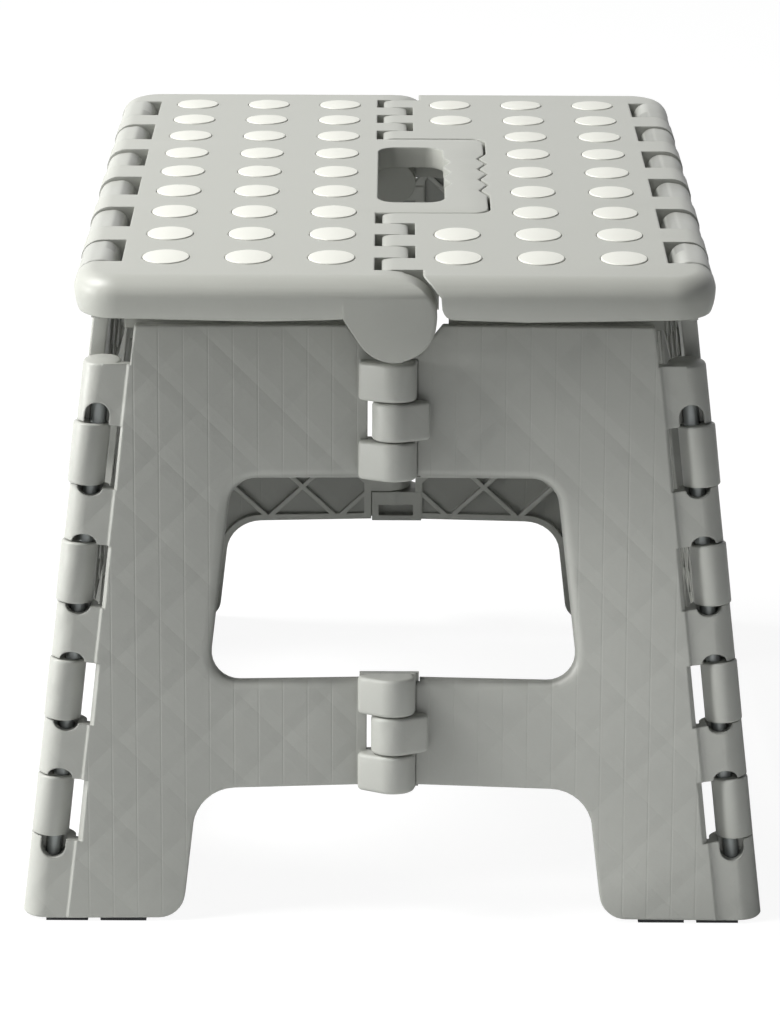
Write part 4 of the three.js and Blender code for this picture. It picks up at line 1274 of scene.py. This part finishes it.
def finger_hole():
    """The opening for the fingers, with scallops along the grip."""
    corners = [(HOLE_LEFT, HOLE_FRONT), (HOLE_LEFT, HOLE_BACK), (HOLE_RIGHT, HOLE_BACK)]
    scallops = []
    for y in SCALLOPS:
        scallops += [(HOLE_RIGHT, y + SCALLOP_HALF), (SCALLOP_X, y, SCALLOP_RADIUS),
                     (HOLE_RIGHT, y - SCALLOP_HALF)]
    corners = [(x, y, HOLE_RADIUS) for x, y in corners]
    return rounded([*corners, *scallops, (HOLE_RIGHT, HOLE_FRONT, HOLE_RADIUS)])


print("the handle's outline has", len(handle_outline(0)), "points")

# %% [markdown]
# ### The slab
# The rim rolls over in a quarter circle above and a steeper curve below. Its lower edge is highest at
# the middle, where the halves need room to fold. A bevel could round the rim, but rings that follow two
# curves give each curve its own radius.

# %% Slab
RIM_LEVEL = 230.5
ROLL_DOWN, ROLL_UNDER = 11.5, 4.5
ROLL_UP = 7.5
# The lower edge of the rim from the side to the middle, as x and height.
LOWER_EDGE = [(SEAT_OUT, 222), (95, 222), (46, 220.9), (24, 221.6), (12, 222.4)]


def seat_blank():
    """The whole slab, before it is parted."""
    rings = []
    for a in [math.radians(10 * k) for k in range(8, -1, -1)]:
        level = RIM_LEVEL - ROLL_DOWN * math.sin(a)
        rings.append(at_level(seat_outline(ROLL_UNDER * (1 - math.cos(a))), level))
    for a in [math.radians(11.25 * k) for k in range(1, 9)]:
        level = RIM_LEVEL + ROLL_UP * math.sin(a)
        rings.append(at_level(seat_outline(ROLL_UP * (1 - math.cos(a))), level))
    below = [(-SEAT_OUT, SEAT_BELOW), (SEAT_OUT, SEAT_BELOW), *LOWER_EDGE, *mirrored(LOWER_EDGE)]
    return carve(loft(rings), [section(below, -PAST_END, PAST_END)])


BLANK = seat_blank()
print("the slab has", len(BLANK.polygons), "faces")

# %% [markdown]
# ### Underside
# The seat is a shell over ribs, like the walls. What is hollow is made as one block, from which the
# ribs, the rims and the ground of the handle are kept. Two more ribs hang down behind the end walls.
# The two halves hang theirs at different places, so that they pass each other when the seat folds.

# %% Underside of a half
SEAT_EDGE, SEAT_SKIN, HOLLOW_RIM = 3.4, 2.6, 5
RIB_REACH, RIM_REACH = 150, 120
SIDE_RIM, MIDDLE_RIM = 95.5, (12.65, 15.25)
CROSS_RIBS, CROSS_RIB_HALF = [-3.5, -1.5, 1.5, 3.5], 0.9
HANDLE_WALL = 3.1
HANG_THICK, HANG_FROM, HANG_END, HANG_STEP = 2.5, 234, 97, 211.3
HANG_FOOT = (22, 98)
# For each half: where the hanging rib begins, where it steps down, its distance and its lowest level.
HANG = {-1: (15.3, 23, 112, 210.5), 1: (19, 31, 109.1, 209.4)}


def seat_slab(side, near, far, front, back):
    """A block over a half of the seat, from near the middle to far from it."""
    return block(*sorted((side * near, side * far)), front, back, SEAT_BELOW, SEAT_ABOVE)


def seat_hollow(side):
    """What is hollow under a half, with its ribs left out."""
    away = HANG[side][2]
    keep = [seat_slab(side, SIDE_RIM, RIM_REACH, -RIB_REACH, RIB_REACH),
            seat_slab(side, *MIDDLE_RIM, -RIB_REACH, RIB_REACH),
            seat_slab(side, *HANG_FOOT, -away - HANG_THICK, -away),
            seat_slab(side, *HANG_FOOT, away, away + HANG_THICK),
            plate(handle_outline(0 if side < 0 else HANDLE_WALL), SEAT_BELOW, SEAT_ABOVE)]
    for place in CROSS_RIBS:
        front, back = place * PITCH - CROSS_RIB_HALF, place * PITCH + CROSS_RIB_HALF
        keep.append(seat_slab(side, MIDDLE_RIM[0], RIM_REACH, front, back))
    inside = plate(seat_outline(SEAT_EDGE), SEAT_LOW - THROUGH, SEAT_TOP - SEAT_SKIN, 0, HOLLOW_RIM)
    return carve(inside, keep)


def hanging_ribs(side):
    """The two ribs that hang behind the end walls, with a stepped lower edge."""
    inner, bend, away, lowest = HANG[side]
    edge = [(inner, HANG_FROM), (inner, HANG_STEP), (bend, HANG_STEP), (bend + 4, lowest),
            (HANG_END, lowest), (HANG_END, HANG_FROM)]
    edge = counter_clockwise([(side * x, z) for x, z in edge])
    return [section(edge, -away - HANG_THICK, -away), section(edge, away, away + HANG_THICK)]


print("the left half's ribs hang to", HANG[-1][3], "mm and the right half's to", HANG[1][3], "mm")

# %% [markdown]
# ### Fingers and bosses
# Along the middle the halves take turns: five short fingers on each side of the handle, and a round
# boss of the left half at each end. A finger is a tab on a bar round the rod. The boss is a disc round
# the rod that keeps to the slab's rim, and the other half has a room for it that also lets it turn.

# %% Stretches along the middle
PIVOT = (0, 223)
PIVOT_BAR = 8
# A tab's round end, its root beside the rib, and the levels and depth of the step under its tip.
TAB_ROUND, TAB_ROOT, TAB_LIP, TAB_SHELF, TAB_WEB = 15, -15.25, 236.9, 234, 3.5


def stretches():
    """For each stretch of the middle: the half that owns it, its ends, and whether it is a boss."""
    turns = []
    for direction, start in [(-1, HANDLE_FRONT), (1, HANDLE_BACK)]:
        for k in range(5):
            ends = sorted((direction * (start + k * FINGER), direction * (start + (k + 1) * FINGER)))
            turns.append(("left" if k % 2 else "right", *ends, False))
        ends = sorted((direction * (start + 5 * FINGER), direction * SEAT_HALF_DEPTH))
        turns.append(("left", *ends, True))
    return turns


def finger(side, front, back):
    """A finger: a tab that fills the top to the seam, and a bar round the rod."""
    tab = [(TAB_ROOT, SEAT_TOP)]
    for k in range(10):
        a = math.radians(90 - 3 * k)
        if TAB_ROUND * math.cos(a) < TIP - 0.3:
            tab.append((TAB_ROUND * math.cos(a), PIVOT[1] + TAB_ROUND * math.sin(a)))
    tab += [(TIP, TAB_LIP), (TIP, TAB_SHELF), (TAB_WEB, TAB_SHELF), (TAB_WEB, PIVOT[1]), (TAB_ROOT, PIVOT[1])]
    tab = counter_clockwise([(-side * x, z) for x, z in tab])
    return [section(tab, front, back), cross_bar(PIVOT_BAR, *PIVOT, front, back)]


print("stretches:", [(owner, round(front), round(back)) for owner, front, back, _ in stretches()])

# %% Bosses and their rooms
BOSS, BOSS_LOW, BOSS_DROP = 14.6, 14.4, 221.1
BOSS_FLANK = (-17.8, 222.2)
BOSS_RIM = 1.3
BOSS_FACE_TO = 3
BESIDE, MASK_LOW, MASK_HIGH = 40, 190, 231
# The room beside the boss, as x and height. It follows the boss, and leaves it space to turn.
BOSS_ROOM = [(-20, 200), (-20, 245), (9.4, 245), (9.4, 238.2), (12.6, 235.6), (15.9, 231.2), (16.3, 226),
             (16.9, 224.2), (17.7, 223), (19, 222.1), (20.8, 221.4), (24, 220.5), (24, 200)]


def boss(front, back):
    """A boss in two forms: the round head, and what fills the slab's rim beside it."""
    outline = hull(circle(BOSS, 72, *PIVOT) + circle(BOSS_LOW, 72, 0, BOSS_DROP) + [BOSS_FLANK])
    head = section(counter_clockwise(outline), front, back, BOSS_RIM, BOSS_RIM)
    lower = block(-BESIDE, BESIDE, -SEAT_HALF_DEPTH, SEAT_HALF_DEPTH, MASK_LOW, MASK_HIGH)
    mask = join(BLANK.copy(), lower)
    beside = section(counter_clockwise(hull([*outline, (BOSS_FLANK[0], 240)])), front, back)
    filled = carve(mask.copy(), [beside], "INTERSECT")
    face = block(-BESIDE, BOSS_FACE_TO, -PAST_END, PAST_END, MASK_LOW, SEAT_ABOVE)
    return [carve(head, [mask], "INTERSECT"), carve(filled, [face], "INTERSECT")]


print("a boss is", 2 * BOSS, "mm across")

# %% [markdown]
# ### The crown
# The top bends down a little towards the front and back. A bend modifier would turn the rim as well, so
# the mesh is cut in slices and each point's height is changed by a rule.

# %% Crown
CROWN_FROM, CROWN_OVER = 223, 15
CROWN_RISE, CROWN_FALL, CROWN_LENGTH = 0.2, 1.39, 116
SLICE = 12.3


def crown(z, y):
    """The height of a point once the top is bent. Points at the underside stay."""
    weight = min(max((z - CROWN_FROM) / CROWN_OVER, 0), 1)
    return z + (CROWN_RISE - CROWN_FALL * (y / CROWN_LENGTH) ** 2) * weight * weight * (3 - 2 * weight)


def crowned(mesh):
    """Bend the top of the seat a little down towards its front and back ends."""
    form = bmesh.new()
    form.from_mesh(mesh)
    for k in range(-11, 12):
        everything = [*form.verts, *form.edges, *form.faces]
        cut_at = (0, k * SLICE, 0)
        bmesh.ops.bisect_plane(form, geom=everything, dist=0.001, plane_co=cut_at, plane_no=(0, 1, 0))
    for vert in form.verts:
        vert.co.z = crown(vert.co.z, vert.co.y)
    form.to_mesh(mesh)
    form.free()
    return mesh


print("the top falls to", round(crown(SEAT_TOP, SEAT_HALF_DEPTH), 2), "mm at its ends")

# %% [markdown]
# ### The two halves
# A half starts as its side of the slab, is hollowed, and gets its hanging ribs, fingers and bosses. The
# left half also gets the tongue. All holes are cut last, in one step, so that none is filled again:
# bores for the rods, notches for the side barrels, and a seat for each disc.

# %% Building a half
TONGUE_THICK, TONGUE_RIM, TONGUE_FROM, TONGUE_TO = 8, 0.5, -9.5, 60
MIDDLE_BARS = [(-57.6, -46.6), (42.1, 53.1)]


def add_middle(side, body):
    """The half with its fingers and bosses, and the rooms that the other half's bosses need."""
    mine = "left" if side < 0 else "right"
    rooms = []
    for owner, front, back, is_boss in stretches():
        if owner == mine and is_boss:
            ends = (-SEAT_HALF_DEPTH, back - GAP / 2) if front < 0 else (front + GAP / 2, SEAT_HALF_DEPTH)
            body = join(body, *boss(*ends))
        elif owner == mine:
            body = join(body, *finger(side, front + GAP / 2, back - GAP / 2))
        elif is_boss:
            ends = (-PAST_END, back + GAP / 2) if front < 0 else (front - GAP / 2, PAST_END)
            rooms.append(section(counter_clockwise(BOSS_ROOM), *ends))
    return body, rooms


def add_tongue(body):
    """The left half with the handle's tongue."""
    tongue = plate(handle_outline(0), SEAT_TOP - TONGUE_THICK, SEAT_TOP, TONGUE_RIM, TONGUE_RIM)
    beyond = block(TONGUE_FROM, TONGUE_TO, -PAST_END, PAST_END, SEAT_BELOW, SEAT_ABOVE)
    return join(body, carve(tongue, [beyond], "INTERSECT"))


print("the tongue reaches", TONGUE_TIP, "mm past the middle")

# %% Holes of a half
MIDDLE_BORE = {-1: (3.3, 0, 223), 1: (5.9, 1.75, 224.9)}
MIDDLE_BORE_ENDS = [(-137.5, -48.9), (44.4, 133)]
SIDE_BORE_HALF = 130
SEAT_NOTCH, SEAT_NOTCH_HALF = (95, 140), 13
HOLE_BOTTOM = 180
DISC_GAP, DISC_FLOOR = 0.25, 233
TONGUE_GAP = 0.9


def seat_holes(side):
    """All cutters for the holes of a half."""
    opening = finger_hole() if side < 0 else handle_outline(TONGUE_GAP)
    cuts = [plate(opening, HOLE_BOTTOM, SEAT_ABOVE)]
    cuts += [cross_bar(*MIDDLE_BORE[side], front, back) for front, back in MIDDLE_BORE_ENDS]
    cuts += [cross_bar(SEAT_ROD_BORE, side * SIDE_PIN_X, SIDE_PIN_Z, -SIDE_BORE_HALF, SIDE_BORE_HALF)]
    cuts += [seat_slab(side, *SEAT_NOTCH, y - SEAT_NOTCH_HALF, y + SEAT_NOTCH_HALF) for y in SIDE_MIDDLES]
    for share in COLUMNS:
        if share * side > 0:
            rows = ROWS if share != BESIDE_HANDLE else [*ROWS[:2], *ROWS[-2:]]
            wells = [circle(DISC + DISC_GAP, 48, share * PITCH, y) for y in rows]
            cuts += [plate(well, DISC_FLOOR, SEAT_ABOVE) for well in wells]
    return cuts


print("holes in the left half:", len(seat_holes(-1)))

# %% Seat halves
def seat_half(side):
    """One half of the seat, ready to finish."""
    part = carve(BLANK.copy(), [seat_slab(side, SEAM + GAP, SEAT_OUT, -PAST_END, PAST_END)], "INTERSECT")
    body = carve(part, [seat_hollow(side)])
    if side < 0:
        body = add_tongue(body)
    body = join(body, *hanging_ribs(side))
    body, rooms = add_middle(side, body)
    if side < 0:
        body = join(body, *[cross_bar(PIVOT_BAR, *PIVOT, front, back) for front, back in MIDDLE_BARS])
    return crowned(carve(body, [*rooms, *seat_holes(side)]))


for side, name in [(-1, "left"), (1, "right")]:
    piece("seat_half_" + name, seat_half(side), "seat_" + name, ["seat_" + name], "seat")

# %% [markdown]
# ## Grip discs
# The discs of a column are one soft moulding. A thin runner under the skin joins them, and each disc
# stands a little proud of the seat. They could be separate cylinders, but a row of copies on a runner
# is how the real part is made.

# %% Grip discs
DISC_BOTTOM, DISC_PROUD = 234.5, 0.35
RUNNER_HALF, RUNNER_END, RUNNER_LEVELS = 3, 4, (233.6, 235.1)


def strip_of_discs(x, rows):
    """The discs of a column on their runner."""
    disc = plate(circle(DISC, 48), DISC_BOTTOM, SEAT_TOP + DISC_PROUD, 0, DISC_PROUD)
    discs = row(disc, len(rows), (x, rows[0], 0), (0, PITCH, 0), disc_rubber)
    front, back = rows[0] - RUNNER_END, rows[-1] + RUNNER_END
    runner = block(x - RUNNER_HALF, x + RUNNER_HALF, front, back, *RUNNER_LEVELS)
    return crowned(join(runner, discs))


for k, share in enumerate(COLUMNS):
    body = "seat_left" if share < 0 else "seat_right"
    if share == BESIDE_HANDLE:
        piece("grip_4_front", strip_of_discs(share * PITCH, ROWS[:2]), body, ["grip_strip_4_front"], "disc")
        piece("grip_4_back", strip_of_discs(share * PITCH, ROWS[-2:]), body, ["grip_strip_4_back"], "disc")
    else:
        piece(f"grip_{k + 1}", strip_of_discs(share * PITCH, ROWS), body, [f"grip_strip_{k + 1}"], "disc")

# %% [markdown]
# ## Seat rods
# Four rods carry the seat: one along each side and two under the middle. They show only as a glint
# between the barrels, so a plain round bar with a small chamfer is enough.

# %% Seat rods
SIDE_ROD, SIDE_ROD_HALF = 2.2, 129.7
BAR_CHAMFER, BAR_SIDES = 0.4, 32
MIDDLE_ROD, MIDDLE_ROD_FRONT, MIDDLE_ROD_BACK = 3, (-137.2, -49.2), (44.7, 132.7)
for side, name in [(-1, "left"), (1, "right")]:
    ends = (-SIDE_ROD_HALF, SIDE_ROD_HALF)
    rod = cross_bar(SIDE_ROD, side * SIDE_PIN_X, SIDE_PIN_Z, *ends, BAR_CHAMFER, BAR_SIDES)
    piece("side_rod_" + name, rod, "side_" + name, ["seat_rod_" + name], "rod")
front_rod = cross_bar(MIDDLE_ROD, *PIVOT, *MIDDLE_ROD_FRONT, BAR_CHAMFER, BAR_SIDES)
back_rod = cross_bar(MIDDLE_ROD, *PIVOT, *MIDDLE_ROD_BACK, BAR_CHAMFER, BAR_SIDES)
piece("middle_rod_front", front_rod, "seat_left", ["seat_rod_front"], "rod")
piece("middle_rod_back", back_rod, "seat_left", ["seat_rod_back"], "rod")
